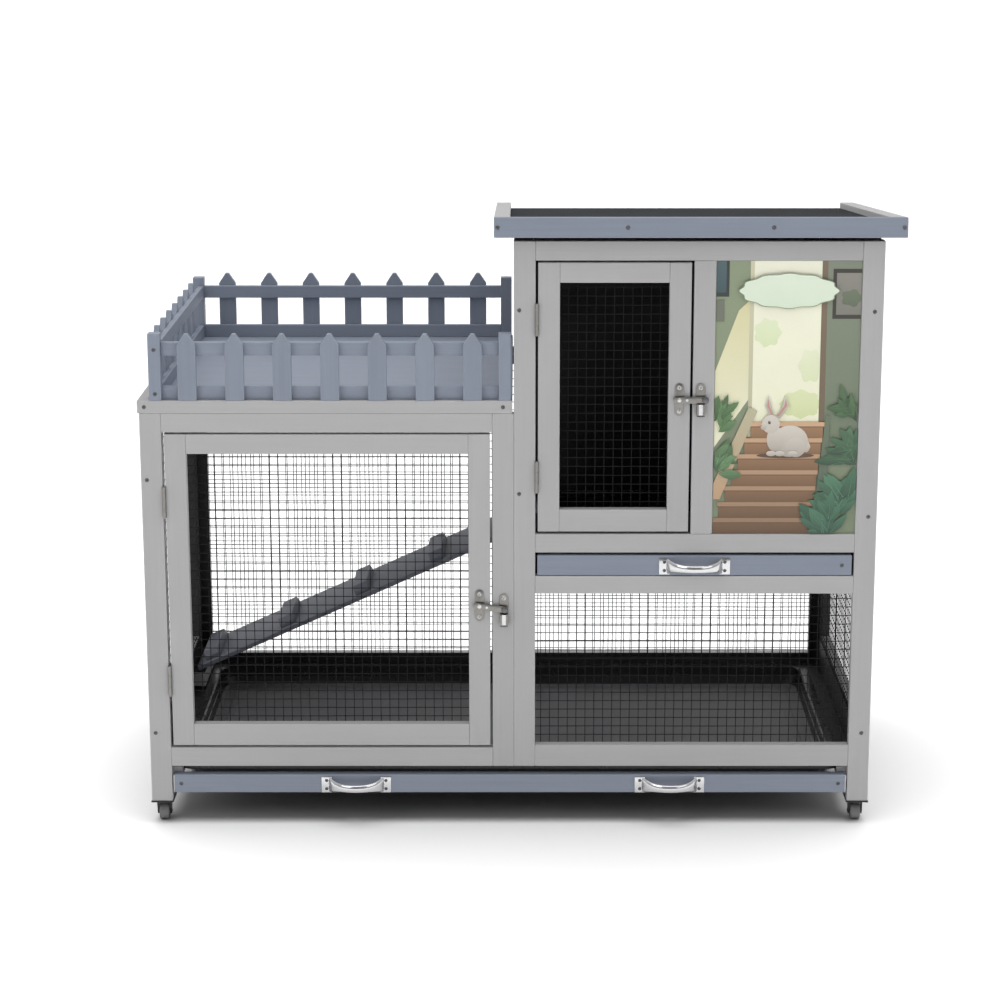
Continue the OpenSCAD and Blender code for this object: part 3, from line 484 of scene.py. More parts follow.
def screw_template():
    """A pan head of radius 1 with a cross recess; its seat is at z = 0."""
    mesh = bmesh.new()
    bmesh.ops.create_cone(
        mesh, cap_ends=True, segments=16, radius1=1.0, radius2=0.78, depth=0.36,
        matrix=Matrix.Translation((0, 0, 0.18)),
    )
    top = max(mesh.faces, key=lambda f: f.calc_center_median().z)
    bmesh.ops.bevel(
        mesh, geom=list(top.edges), offset=0.12, offset_type="OFFSET", segments=2, profile=0.5,
        affect="EDGES", material=-1,
    )
    top = max(mesh.faces, key=lambda f: (round(f.calc_center_median().z, 4), f.calc_area()))
    bmesh.ops.inset_region(mesh, faces=[top], thickness=0.12)
    half = 0.13
    geom = [top, *top.edges, *top.verts]
    for normal in (X, Y):
        for side in (-half, half):
            geom = bmesh.ops.bisect_plane(
                mesh, geom=geom, dist=1e-5, plane_co=normal * side, plane_no=normal
            )["geom"]
    cells = [g for g in geom if isinstance(g, bmesh.types.BMFace)]
    cross = [f for f in cells if min(abs(f.calc_center_median().x), abs(f.calc_center_median().y)) < half]
    pull(mesh, cross, (0, 0, -0.26))
    bmesh.ops.recalc_face_normals(mesh, faces=mesh.faces)
    return as_template(mesh, "screw_template")


def screw_at(mesh, spot, outward, radius, spin, finish_index=0):
    """A screw head on a face at a spot, turned by spin."""
    turn = Vector(outward).to_track_quat("Z", "Y").to_matrix().to_4x4()
    place = Matrix.Translation(spot) @ turn @ Matrix.Rotation(spin, 4, "Z") @ Matrix.Scale(radius, 4)
    dress(copy_in(mesh, bpy.data.meshes["screw_template"], place), finish_index)


# ---- Operators ----


class HutchPart:
    bl_options = {"REGISTER", "UNDO"}

    def execute(self, context):
        self.build(context.scene.hutch_sizes, context.scene.hutch_colours, context.scene.hutch_light)
        return {"FINISHED"}


class HUTCH_OT_finishes(HutchPart, bpy.types.Operator):
    """Mixes the paints, metals and plastics"""

    bl_idname = "hutch.finishes"
    bl_label = "Finishes"

    def build(self, sizes, colours, light):
        paint_group()
        speckle_group()
        metal_group()
        screw_template()
        for name, base, relief, grain in (
            ("light_grey_paint", colours.light_grey, 0.00012, 0.8),
            ("blue_grey_paint", colours.blue_grey, 0.00016, 1.3),
            ("ramp_painted_shade", colours.ramp, 0.00016, 1.3),
            # painted shade: near-black paint for the shade inside the cabin, inside the run and under the roof
            ("painted_shade", colours.inside, 0.0001, 1.0),
            ("bare_wood", colours.bare_wood, 0.0003, 3.0),
        ):
            finish(name, "painted_grain", base, relief, coords="UV", grain=grain)
        for name, base, relief, specular, contrast, roughness in (
            ("black_wire", colours.wire, 0.0001, 0.15, 0.3, 0.55),
            ("roofing_felt", colours.felt, 0.0006, 0.08, 1.1, 0.95),
            ("black_pan", colours.pan, 0.00005, 0.5, 0.4, 0.26),
            ("pan_floor_painted_light", colours.pan_floor_painted_light, 0.0001, 0.5, 0.5, 0.62),
            ("wheel_rubber", colours.rubber, 0.0001, 0.5, 0.4, 0.62),
            ("printed_panel", "ink", 0.00002, 0.5, 0.10, 0.38),
        ):
            finish(name, "speckle", base, relief, specular=specular, contrast=contrast, base_roughness=roughness)
        for name, base, relief, metallic, wear, roughness in (
            ("zinc_fittings", colours.zinc, 0.00002, 1.0, 1.0, 0.36),
            ("screw_heads", colours.steel, 0.00002, 1.0, 1.0, 0.42),
            ("caster_metal", colours.caster, 0.00002, 0.2, 1.2, 0.38),
            ("chrome_handles", colours.chrome, 0.00001, 1.0, 0.4, 0.14),
            ("bright_metal", colours.chrome, 0.00001, 1.0, 0.6, 0.30),
        ):
            finish(name, "plated_metal", base, relief, metallic=metallic, wear=wear, base_roughness=roughness)


def under_roof(centre, normal):
    """True for the upward edges that the roof lies over, which get painted shade."""
    return normal.z > 0.7 and centre.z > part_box("cabin_posts")[1].z - 0.06


def inward(centre, normal):
    """True for faces that look into the run or the cabin, and for edges under the roof: all of them get painted
    shade.
    """
    low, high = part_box("front_legs")[0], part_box("back_posts")[1]
    if under_roof(centre, normal) or centre.y > 0.1 and normal.y < -0.5:
        return True
    if min(centre.x - low.x, high.x - centre.x) < 0.016:
        return normal.x * centre.x < -0.1 and centre.y > low.y + 0.012
    return False


def cabin_inner(centre, normal):
    """True for faces that look into the cabin's closed room, which get painted shade."""
    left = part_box("cabin_side_walls")[0].x
    across = abs(normal.x) > 0.5 and normal.x * (centre.x - (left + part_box("front_legs")[1].x) / 2) < 0
    floor = normal.z > 0.5 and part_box("cabin_floor")[1].z - 0.002 < centre.z
    walls = across and centre.x > left + 0.004 or normal.y < -0.5 and centre.y > 0
    return under_roof(centre, normal) or floor or walls


def downward(centre, normal):
    """True for faces that look down."""
    return normal.z < -0.5


def upward(centre, normal):
    """True for faces that look up."""
    return normal.z > 0.5


def everywhere(centre, normal):
    """True for every face."""
    return True


class HUTCH_OT_frame_boards(HutchPart, bpy.types.Operator):
    """Paints the frame's posts, rails, walls and floor"""

    bl_idname = "hutch.frame_boards"
    bl_label = "Frame boards"

    def build(self, sizes, colours, light):
        for node in ("front_legs", "run_inner_stile", "cabin_posts", "run_front_rails", "cabin_front_rails"):
            boards(node, *GREY_PAINT, sizes.board_rounding)
        # Painted shade: faces that look into the run and the cabin, edges under the roof, and the runners' tops
        # under the trays get the near-black finish.
        for node in ("back_posts", "back_rails", "side_rails", "side_stiles"):
            boards(node, *GREY_PAINT, sizes.board_rounding, painted_shade_faces=inward)
        boards("tray_runners", *GREY_PAINT, sizes.board_rounding, painted_shade_faces=upward)
        for node in ("cabin_back_wall", "cabin_side_walls", "cabin_floor"):
            boards(node, *GREY_PAINT, sizes.panel_rounding, painted_shade_faces=cabin_inner)


class HUTCH_OT_doors(HutchPart, bpy.types.Operator):
    """Paints both doors' stiles and rails"""

    bl_idname = "hutch.doors"
    bl_label = "Doors"

    def build(self, sizes, colours, light):
        for door in ("upper_door", "lower_door"):
            for part in ("stiles", "rails"):
                boards(f"{door}_{part}", *GREY_PAINT, sizes.board_rounding)


class HUTCH_OT_deck(HutchPart, bpy.types.Operator):
    """Paints the deck, its edges and the picket fence"""

    bl_idname = "hutch.deck"
    bl_label = "Deck and fence"

    def build(self, sizes, colours, light):
        boards("deck_edges", *GREY_PAINT, sizes.board_rounding)
        for node in ("deck_floor", "fence_posts", "fence_rails", "fence_pickets"):
            boards(node, *BLUE_PAINT, sizes.panel_rounding)


class HUTCH_OT_ramp(HutchPart, bpy.types.Operator):
    """Paints the ramp's plank and cleats"""

    bl_idname = "hutch.ramp"
    bl_label = "Ramp"

    def build(self, sizes, colours, light):
        low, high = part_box("ramp_plank")
        slope = math.atan2(high.z - low.z, high.x - low.x)
        turn = Matrix.Rotation(slope, 3, "Y")
        for node in ("ramp_plank", "ramp_cleats"):
            # the ramp gets the darker ramp colour: painted shade for the deck above it
            boards(node, "ramp_painted_shade", "blue_grey_paint", sizes.board_rounding, turn)


class HUTCH_OT_roof(HutchPart, bpy.types.Operator):
    """Builds the roof's boards, felt, hinges and screws"""

    bl_idname = "hutch.roof"
    bl_label = "Roof"

    def build(self, sizes, colours, light):
        low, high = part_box("roof_felt")
        tilt = math.atan2(high.z - low.z, high.y - low.y)
        turn = Matrix.Rotation(tilt, 3, "X")
        boards("roof_fascia", *BLUE_PAINT, sizes.board_rounding, turn)
        boards("roof_rims", *GREY_PAINT, sizes.board_rounding, turn)
        # Painted shade: the battens all over and the roof panel's underside get the near-black finish, for the shade
        # under the roof.
        boards("roof_battens", *GREY_PAINT, sizes.panel_rounding, turn, painted_shade_faces=everywhere)
        boards("roof_panel", "bare_wood", "bare_wood", sizes.panel_rounding, turn, painted_shade_faces=downward)
        felt = merged("roof_felt")
        round_edges(felt, 0.0005)
        finish_piece("roofing_felt", felt, ["roofing_felt"], "roof", "roofing_felt", "roof_felt")
        hardware = merged("roof_hardware")
        discs = [g for g in islands(hardware) if (span(g)[1] - span(g)[0]).x < 0.01]
        spots = [middle(g) for g in discs]
        bmesh.ops.delete(hardware, geom=[v for g in discs for v in g], context="VERTS")
        round_edges(hardware, sizes.metal_rounding, segments=1)
        finish_piece(
            "roof_hinge_leaves", hardware, ["zinc_fittings"], "roof", "zinc_fittings", "roof_hardware", smooth=30
        )
        outward = Vector((0, -math.cos(tilt), math.sin(tilt)))
        mesh = bmesh.new()
        for number, spot in enumerate(spots):
            screw_at(mesh, spot - outward * 0.0004, outward, sizes.screw_radius, 0.4 + number)
        finish_piece("fascia_screws", mesh, ["screw_heads"], "roof", "screw_heads", smooth=35)


class HUTCH_OT_wire(HutchPart, bpy.types.Operator):
    """Welds the wire mesh of the run, the cabin's underside and the doors"""

    bl_idname = "hutch.wire"
    bl_label = "Wire mesh"

    RINGS = 7

    def build(self, sizes, colours, light):
        template = bmesh.new()
        bmesh.ops.create_cone(template, cap_ends=True, segments=6, radius1=1, radius2=1, depth=1)
        long_edges = [e for e in template.edges if abs(e.verts[0].co.z - e.verts[1].co.z) > 0.5]
        bmesh.ops.subdivide_edges(template, edges=long_edges, cuts=self.RINGS - 1, use_grid_fill=True)
        template = as_template(template, "wire_template")
        for node, body, name in (
            ("run_meshes", "root", "run_wire_mesh"),
            ("upper_door_mesh", "upper_door", "upper_door_wire_mesh"),
            ("lower_door_mesh", "lower_door", "lower_door_wire_mesh"),
        ):
            mesh = bmesh.new()
            dice = random.Random(name)
            for low, high in solid_boxes(node):
                self.sheet(mesh, template, low, high, sizes, dice)
            finish_piece(name, mesh, ["black_wire"], body, "black_wire", node, smooth=40)

    def sheet(self, mesh, template, low, high, sizes, dice):
        """One welded sheet: uprights, with level wires against them."""
        size = high - low
        thin = min(range(3), key=lambda i: size[i])
        inward = -1 if middle([low, high])[thin] > 0 else 1
        for along in [i for i in range(3) if i != thin]:
            across = 3 - thin - along
            count = int(size[across] / sizes.wire_pitch)
            first = low[across] + (size[across] - count * sizes.wire_pitch) / 2
            side = inward if along == 2 else -inward
            depth = middle([low, high])[thin] + side * sizes.wire_radius * 0.9
            for number in range(count + 1):
                start = len(mesh.verts)
                mesh.from_mesh(template)
                mesh.verts.ensure_lookup_table()
                stray = [dice.uniform(-1, 1) * sizes.wire_wander for _ in range(self.RINGS + 1)]
                for vert in mesh.verts[start:]:
                    ring = round((vert.co.z + 0.5) * self.RINGS)
                    spot = Vector((0, 0, 0))
                    spot[along] = low[along] + size[along] * (vert.co.z + 0.5)
                    spot[across] = first + number * sizes.wire_pitch + stray[ring] + vert.co.x * sizes.wire_radius
                    spot[thin] = depth + vert.co.y * sizes.wire_radius
                    vert.co = spot
        bmesh.ops.recalc_face_normals(mesh, faces=mesh.faces)


class HUTCH_OT_hinges(HutchPart, bpy.types.Operator):
    """Finishes the door and roof hinges on the frame"""

    bl_idname = "hutch.hinges"
    bl_label = "Hinges"

    def build(self, sizes, colours, light):
        for node in (
            "door_hinge_frame_leaves", "roof_hinge_frame_leaves",
            "upper_door_hinge_leaves", "lower_door_hinge_leaves",
        ):
            mesh = merged(node)
            round_edges(mesh, sizes.metal_rounding * 0.6, segments=1)
            finish_piece(
                "plated_" + node, mesh, ["zinc_fittings"], body_of(node), "zinc_fittings", node, smooth=30
            )


class HUTCH_OT_screws(HutchPart, bpy.types.Operator):
    """Drives the screws in the frame's front"""

    bl_idname = "hutch.screws"
    bl_label = "Frame screws"

    def build(self, sizes, colours, light):
        mesh = bmesh.new()
        for number, (low, high) in enumerate(solid_boxes("frame_screws")):
            spot = (low + high) / 2
            spot.y = high.y + SCREW_SINK
            screw_at(mesh, spot, -Y, sizes.screw_radius, 0.7 * number)
        finish_piece("front_screws", mesh, ["screw_heads"], "root", "screw_heads", "frame_screws", smooth=35)


def obround(mesh, centre, radius, stretch, along, thickness):
    """A plate with round ends, facing -Y: its centre is on its front face's plane."""
    verts = bmesh.ops.create_circle(mesh, cap_ends=True, segments=20, radius=radius)["verts"]
    for vert in verts:
        flat = Vector((vert.co.x, 0, vert.co.y))
        flat[along] += math.copysign(stretch, flat[along])
        vert.co = flat
    verts = list(verts) + pull(mesh, [verts[0].link_faces[0]], (0, thickness, 0))
    bmesh.ops.translate(mesh, vec=centre, verts=verts)
    bmesh.ops.recalc_face_normals(mesh, faces=faces_of(verts))


def dome(mesh, centre, radius, height):
    """A rivet or knob head, standing out towards -Y."""
    place = Matrix.Translation(centre) @ Matrix.Rotation(math.radians(90), 4, "X")
    rings = ((1.0, 0.0), (1.0, 0.45), (0.86, 0.8), (0.5, 1.0))
    top = list(bmesh.ops.create_circle(mesh, cap_ends=True, segments=20, radius=radius)["verts"])
    everything = list(top)
    for (before, low), (after, high) in zip(rings, rings[1:]):
        face = next(f for f in top[0].link_faces if all(v in top for v in f.verts))
        top = pull(mesh, [face], (0, 0, (high - low) * height))
        bmesh.ops.scale(mesh, vec=(after / before, after / before, 1), verts=top)
        everything += top
    bmesh.ops.transform(mesh, matrix=place, verts=everything)
    bmesh.ops.recalc_face_normals(mesh, faces=faces_of(everything))
    return everything


class HUTCH_OT_latches(HutchPart, bpy.types.Operator):
    """Builds both turn latches and their keepers"""

    bl_idname = "hutch.latches"
    bl_label = "Latches"

    LOWER_TILT = math.radians(8)
    PLATE_HALF_W, PLATE_HALF_H, PLATE_T = 0.0065, 0.023, 0.0015
    SCREW_R = 0.0034

    def build(self, sizes, colours, light):
        for door, tilt in (("upper", 0.0), ("lower", self.LOWER_TILT)):
            pivot = middle(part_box(f"{door}_latch_plate"))
            pivot.y = FRONT_Y
            self.door_plate(door, pivot)
            self.arm(door, pivot, tilt)
        self.keepers()

    def base(self, mesh, centre):
        """A pressed plate with round ends."""
        front = centre - Y * self.PLATE_T
        stretch = self.PLATE_HALF_H - self.PLATE_HALF_W
        obround(mesh, front, self.PLATE_HALF_W, stretch, 2, self.PLATE_T)

    def door_plate(self, door, pivot):
        mesh = bmesh.new()
        self.base(mesh, pivot)
        round_edges(mesh, 0.0004)
        front = pivot - Y * self.PLATE_T
        for side in (-1, 1):
            screw_at(mesh, front + Z * side * 0.0165, -Y, self.SCREW_R, 0.5 + side, 1)
        rod(mesh, front, front - Y * 0.00245, self.SCREW_R, 20)
        dress(dome(mesh, pivot - Y * 0.00605, 0.0030, 0.0011), 1)
        finish_piece(
            f"{door}_latch_base", mesh, ["zinc_fittings", "bright_metal"], f"{door}_door", "zinc_fittings",
            f"{door}_latch_plate", smooth=35,
        )

    def arm(self, door, pivot, tilt):
        mesh = bmesh.new()
        lead, reach, half = 0.004, 0.036, 0.005
        centre = Vector(((reach - lead) / 2, -0.006, 0))
        obround(mesh, centre, half, (reach + lead) / 2, 0, 0.002)
        round_edges(mesh, 0.0005)
        obround(mesh, centre + Vector((0.0035, -0.0003, 0)), half * 0.42, 0.010, 0, 0.0006)
        dress(rod(mesh, (0.0105, -0.0068, 0), (0.0105, -0.0059, 0), 0.0018, 14), 2)
        dress(dome(mesh, Vector((reach, -0.0062, 0)), 0.0047, 0.0028), 1)
        turn = Matrix.Translation(pivot) @ Matrix.Rotation(tilt, 4, "Y")
        bmesh.ops.transform(mesh, matrix=turn, verts=mesh.verts)
        finish_piece(
            f"{door}_latch_bar", mesh, ["zinc_fittings", "screw_heads", "bright_metal"], f"{door}_latch",
            "zinc_fittings", f"{door}_latch_arm", smooth=35,
        )

    def keepers(self):
        """Each keeper: a plate, and a folded lip under the arm with a bright strip on it."""
        mesh = bmesh.new()
        for low, high in solid_boxes("latch_keepers"):
            x = (low.x + high.x) / 2
            top = Vector((x, FRONT_Y, high.z - self.PLATE_HALF_H))
            self.base(mesh, top)
            half, fold = self.PLATE_HALF_W * 0.86, 0.0014
            left, right, out, back = x - half, x + half, low.y, FRONT_Y - 0.0012
            lip_low, lip_top = low.z, low.z + 0.0178
            cuboid(mesh, (left, FRONT_Y - self.PLATE_T, lip_low), (right, FRONT_Y, high.z - 0.03))
            cuboid(mesh, (left, out, lip_low), (right, back, lip_low + fold))
            cuboid(mesh, (left, out, lip_low), (right, out + fold, lip_top))
            strip_low = (x - half * 0.5, out - 0.0003, lip_low + 0.002)
            dress(cuboid(mesh, strip_low, (x + half * 0.5, out + 0.001, lip_top - 0.001)), 1)
            cuboid(mesh, (left, out, lip_top - fold), (right, back, lip_top))
            seat = Vector((x, FRONT_Y - self.PLATE_T, high.z - 0.0065))
            screw_at(mesh, seat, -Y, self.SCREW_R, 1.1 + x, 1)
        round_edges(mesh, 0.0003, segments=1, edges=[e for e in mesh.edges if e.calc_length() > 0.004])
        finish_piece(
            "latch_keeper_plates", mesh, ["zinc_fittings", "bright_metal"], "root", "zinc_fittings",
            "latch_keepers", smooth=35,
        )


class HUTCH_OT_picture(HutchPart, bpy.types.Operator):
    """Prints a plain garden-stair picture on the front panel"""

    bl_idname = "hutch.picture"
    bl_label = "Picture"

    LAYER = 0.00006

    def build(self, sizes, colours, light):
        self.low, self.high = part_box("picture_panel")
        self.mesh = merged("picture_panel")
        self.ink = self.mesh.loops.layers.float_color.new("ink")
        for face in self.mesh.faces:
            for loop in face.loops:
                loop[self.ink] = (0.24, 0.28, 0.19, 1)
        self.depth = 0
        self.wall_and_window()
        self.stairs()
        self.rabbit()
        self.plants()
        mint, rim = (0.72, 0.80, 0.66), (0.24, 0.30, 0.20)
        self.disc(0.5, 0.892, 0.338, 0.063, rim, count=72, wave=0.035, lobes=12)
        self.disc(0.5, 0.892, 0.330, 0.060, mint, (0.66, 0.76, 0.60), count=72, wave=0.035, lobes=12)
        finish_piece("printed_picture", self.mesh, ["printed_panel"], "root", "printed_panel", "picture_panel")

    def patch(self, outline, tint, foot=None, layer=None):
        """A thin flat patch of ink; outline is in shares of the panel, and foot its lower tint."""
        if layer is None:
            self.depth += 1
            layer = self.depth
        size = self.high - self.low
        y = self.low.y - layer * self.LAYER
        points = [
            Vector((
                self.low.x + min(max(u, 0.004), 0.996) * size.x, y,
                self.low.z + min(max(v, 0.002), 0.998) * size.z,
            ))
            for u, v in outline
        ]
        verts = [self.mesh.verts.new(p) for p in points]
        moved = pull(self.mesh, [self.mesh.faces.new(verts)], (0, self.LAYER * 0.8, 0))
        faces = faces_of(verts + moved)
        bmesh.ops.recalc_face_normals(self.mesh, faces=faces)
        low, high = min(p.z for p in points), max(p.z for p in points)
        for each in faces:
            for loop in each.loops:
                share = (loop.vert.co.z - low) / max(high - low, 1e-6)
                mix = tint if foot is None else [f + (t - f) * share for t, f in zip(tint, foot)]
                loop[self.ink] = (*mix, 1)

    def bar(self, u0, v0, u1, v1, tint, foot=None):
        self.patch([(u0, v0), (u1, v0), (u1, v1), (u0, v1)], tint, foot)

    def leaf(self, u, v, angle, size, tint, foot, layer, plump):
        """A pointed leaf from its stalk at (u, v), with a lighter vein."""
        tall = (self.high - self.low).z / (self.high - self.low).x
        upper = ((0.22, 0.62), (0.5, 1.0), (0.78, 0.62))
        shape = ((0, 0), *upper, (1, 0), *((a, -b) for a, b in reversed(upper)))
        c, s = math.cos(angle), math.sin(angle)

        def turned(points):
            return [
                (u + size * (a * c - b * plump * s), v + size * (a * s + b * plump * c) / tall) for a, b in points
            ]

        self.patch(turned(shape), tint, foot, layer)
        vein = [t * 1.5 for t in tint]
        self.patch(turned([(0.05, 0.03), (0.9, 0.0), (0.05, -0.03)]), vein, vein, layer + 0.5)

    def disc(self, u, v, ru, rv, tint, foot=None, count=20, wave=0.0, lobes=0):
        points = []
        for step in range(count):
            angle = 2 * math.pi * step / count
            swell = 1 + wave * math.cos(lobes * angle)
            points.append((u + ru * swell * math.cos(angle), v + rv * swell * math.sin(angle)))
        self.patch(points, tint, foot)

    def wall_and_window(self):
        """A green wall with two frames on it, and a bright window with trees behind it."""
        cream, straw = (0.80, 0.80, 0.60), (0.66, 0.62, 0.36)
        sage, moss = (0.26, 0.31, 0.20), (0.18, 0.22, 0.14)
        self.bar(0, 0, 1, 1, sage, moss)
        self.patch([(0, 0.32), (0.24, 0.5), (0.24, 0.86), (0.16, 0.82), (0, 0.6)], straw, cream)
        self.bar(0.26, 0.36, 0.74, 1.0, (0.86, 0.86, 0.70), cream)
        self.disc(0.36, 0.74, 0.09, 0.05, (0.74, 0.80, 0.56), (0.66, 0.74, 0.46), count=24, wave=0.12, lobes=7)
        self.disc(0.66, 0.62, 0.08, 0.06, (0.76, 0.80, 0.58), (0.68, 0.74, 0.48), count=24, wave=0.12, lobes=6)
        self.disc(0.60, 0.48, 0.14, 0.05, (0.70, 0.74, 0.46), (0.60, 0.66, 0.36), count=28, wave=0.1, lobes=8)
        for u0, u1, tint in ((0.235, 0.262, (0.62, 0.60, 0.42)), (0.725, 0.765, (0.20, 0.15, 0.10))):
            self.bar(u0, 0.36, u1, 1.0, tint, [t * 0.8 for t in tint])
        self.bar(0.765, 0.34, 1, 1, (0.22, 0.25, 0.19), (0.16, 0.20, 0.13))
        self.bar(0.80, 0.79, 1.0, 0.97, (0.05, 0.045, 0.035))
        self.bar(0.825, 0.805, 1.0, 0.955, (0.26, 0.25, 0.22), (0.20, 0.20, 0.17))
        self.disc(0.93, 0.865, 0.07, 0.03, (0.16, 0.19, 0.13), (0.12, 0.15, 0.10), count=18, wave=0.15, lobes=5)
        self.bar(0.0, 0.87, 0.09, 1.0, (0.04, 0.045, 0.045))
        self.bar(0.0, 0.885, 0.07, 1.0, (0.08, 0.13, 0.14), (0.05, 0.09, 0.10))
        self.bar(0.0, 0.78, 0.06, 0.86, (0.16, 0.17, 0.13))

    def stairs(self):
        """Seven steps that narrow as they rise, between a handrail and a skirting."""
        wood, tread, dark_wood = (0.30, 0.17, 0.09), (0.47, 0.30, 0.18), (0.13, 0.075, 0.045)
        steps = 7
        for step in range(steps):
            share = step / steps
            v0, v1 = 0.415 * share, 0.415 * (step + 1) / steps
            left, right = 0.30 * share, 0.66 + 0.09 * share
            fade = 0.55 + 0.65 * share
            riser = [c * fade for c in wood]
            self.bar(left, v0, right + 0.02, v1 - 0.016, riser, [c * 0.72 for c in riser])
            self.bar(left - 0.01, v1 - 0.016, right + 0.03, v1, [c * fade * 1.1 for c in tread])
            self.bar(left - 0.01, v1 - 0.019, right + 0.03, v1 - 0.016, dark_wood)
        handrail = [(0, 0.13), (0.05, 0.13), (0.30, 0.455), (0.24, 0.47), (0, 0.19)]
        self.patch(handrail, (0.46, 0.44, 0.30), tread)
        skirting = [(0.72, 0.16), (0.80, 0.16), (0.80, 0.44), (0.775, 0.44)]
        self.patch(skirting, (0.14, 0.18, 0.12), (0.10, 0.13, 0.09))

    def rabbit(self):
        """A plain white rabbit at rest on a step, seen from its side."""
        fur, shade, pink, ink = (0.62, 0.58, 0.52), (0.40, 0.36, 0.31), (0.50, 0.26, 0.22), (0.03, 0.025, 0.02)
        self.disc(0.50, 0.292, 0.20, 0.010, (0.12, 0.07, 0.045), count=24)
        self.disc(0.635, 0.325, 0.036, 0.022, fur, shade, count=16, wave=0.06, lobes=6)
        self.disc(0.53, 0.345, 0.125, 0.058, fur, shade, count=28)
        self.disc(0.57, 0.322, 0.070, 0.036, (0.56, 0.52, 0.46), shade, count=22)
        self.disc(0.43, 0.352, 0.062, 0.046, fur, shade, count=22)
        for u, width in ((0.405, 0.030), (0.445, 0.034)):
            lean = -0.03 if u < 0.42 else 0.05
            for foot_half, belly, foot_v, tip_v, tints in (
                (width / 2, width * 0.7, 0.43, 0.515, (fur, shade)), (width / 5, width * 0.3, 0.438, 0.502, (pink,)),
            ):
                ear = [
                    (u - foot_half, foot_v), (u + foot_half, foot_v), (u + belly + lean, 0.475),
                    (u + lean, tip_v), (u - belly + lean, 0.475),
                ]
                self.patch(ear, *tints)
        self.disc(0.395, 0.408, 0.062, 0.034, fur, (0.52, 0.48, 0.42), count=24)
        self.disc(0.345, 0.400, 0.022, 0.014, fur, shade, count=14)
        self.disc(0.385, 0.414, 0.010, 0.0062, ink, count=12)
        self.disc(0.388, 0.4165, 0.003, 0.002, (0.8, 0.8, 0.8), count=8)
        self.disc(0.328, 0.402, 0.006, 0.0035, pink, count=8)
        for u in (0.40, 0.46, 0.55):
            self.disc(u, 0.300, 0.034, 0.010, fur, shade, count=14)

    def plants(self):
        """Clumps of leaves at both sides, the nearest ones last."""
        dice = random.Random("leaves")
        clumps = (
            (0.03, 0.40, 16, 0.15, (0.10, 0.19, 0.08), (0.06, 0.12, 0.05), (0.1, 2.4)),
            (0.04, 0.24, 16, 0.16, (0.13, 0.24, 0.11), (0.06, 0.12, 0.06), (-0.3, 2.0)),
            (0.96, 0.44, 16, 0.15, (0.07, 0.13, 0.06), (0.04, 0.08, 0.04), (0.8, 3.4)),
            (0.95, 0.28, 20, 0.19, (0.08, 0.17, 0.09), (0.04, 0.08, 0.05), (0.9, 3.6)),
            (0.90, 0.10, 22, 0.24, (0.07, 0.17, 0.10), (0.03, 0.07, 0.045), (0.7, 3.3)),
            (0.78, 0.01, 16, 0.24, (0.06, 0.15, 0.09), (0.025, 0.06, 0.04), (0.6, 2.9)),
        )
        base = self.depth + 1
        for number, (u, v, count, size, tint, foot, (start, end)) in enumerate(clumps):
            for index in range(count):
                angle = start + (end - start) * dice.random()
                fade = dice.uniform(0.7, 1.35)
                self.leaf(
                    u + dice.uniform(-0.05, 0.05), v + dice.uniform(-0.03, 0.05), angle,
                    size * dice.uniform(0.6, 1.1), [c * fade for c in tint], [c * fade for c in foot],
                    base + number + index * 0.04, dice.uniform(0.14, 0.24),
                )
        self.depth = base + len(clumps) + 1


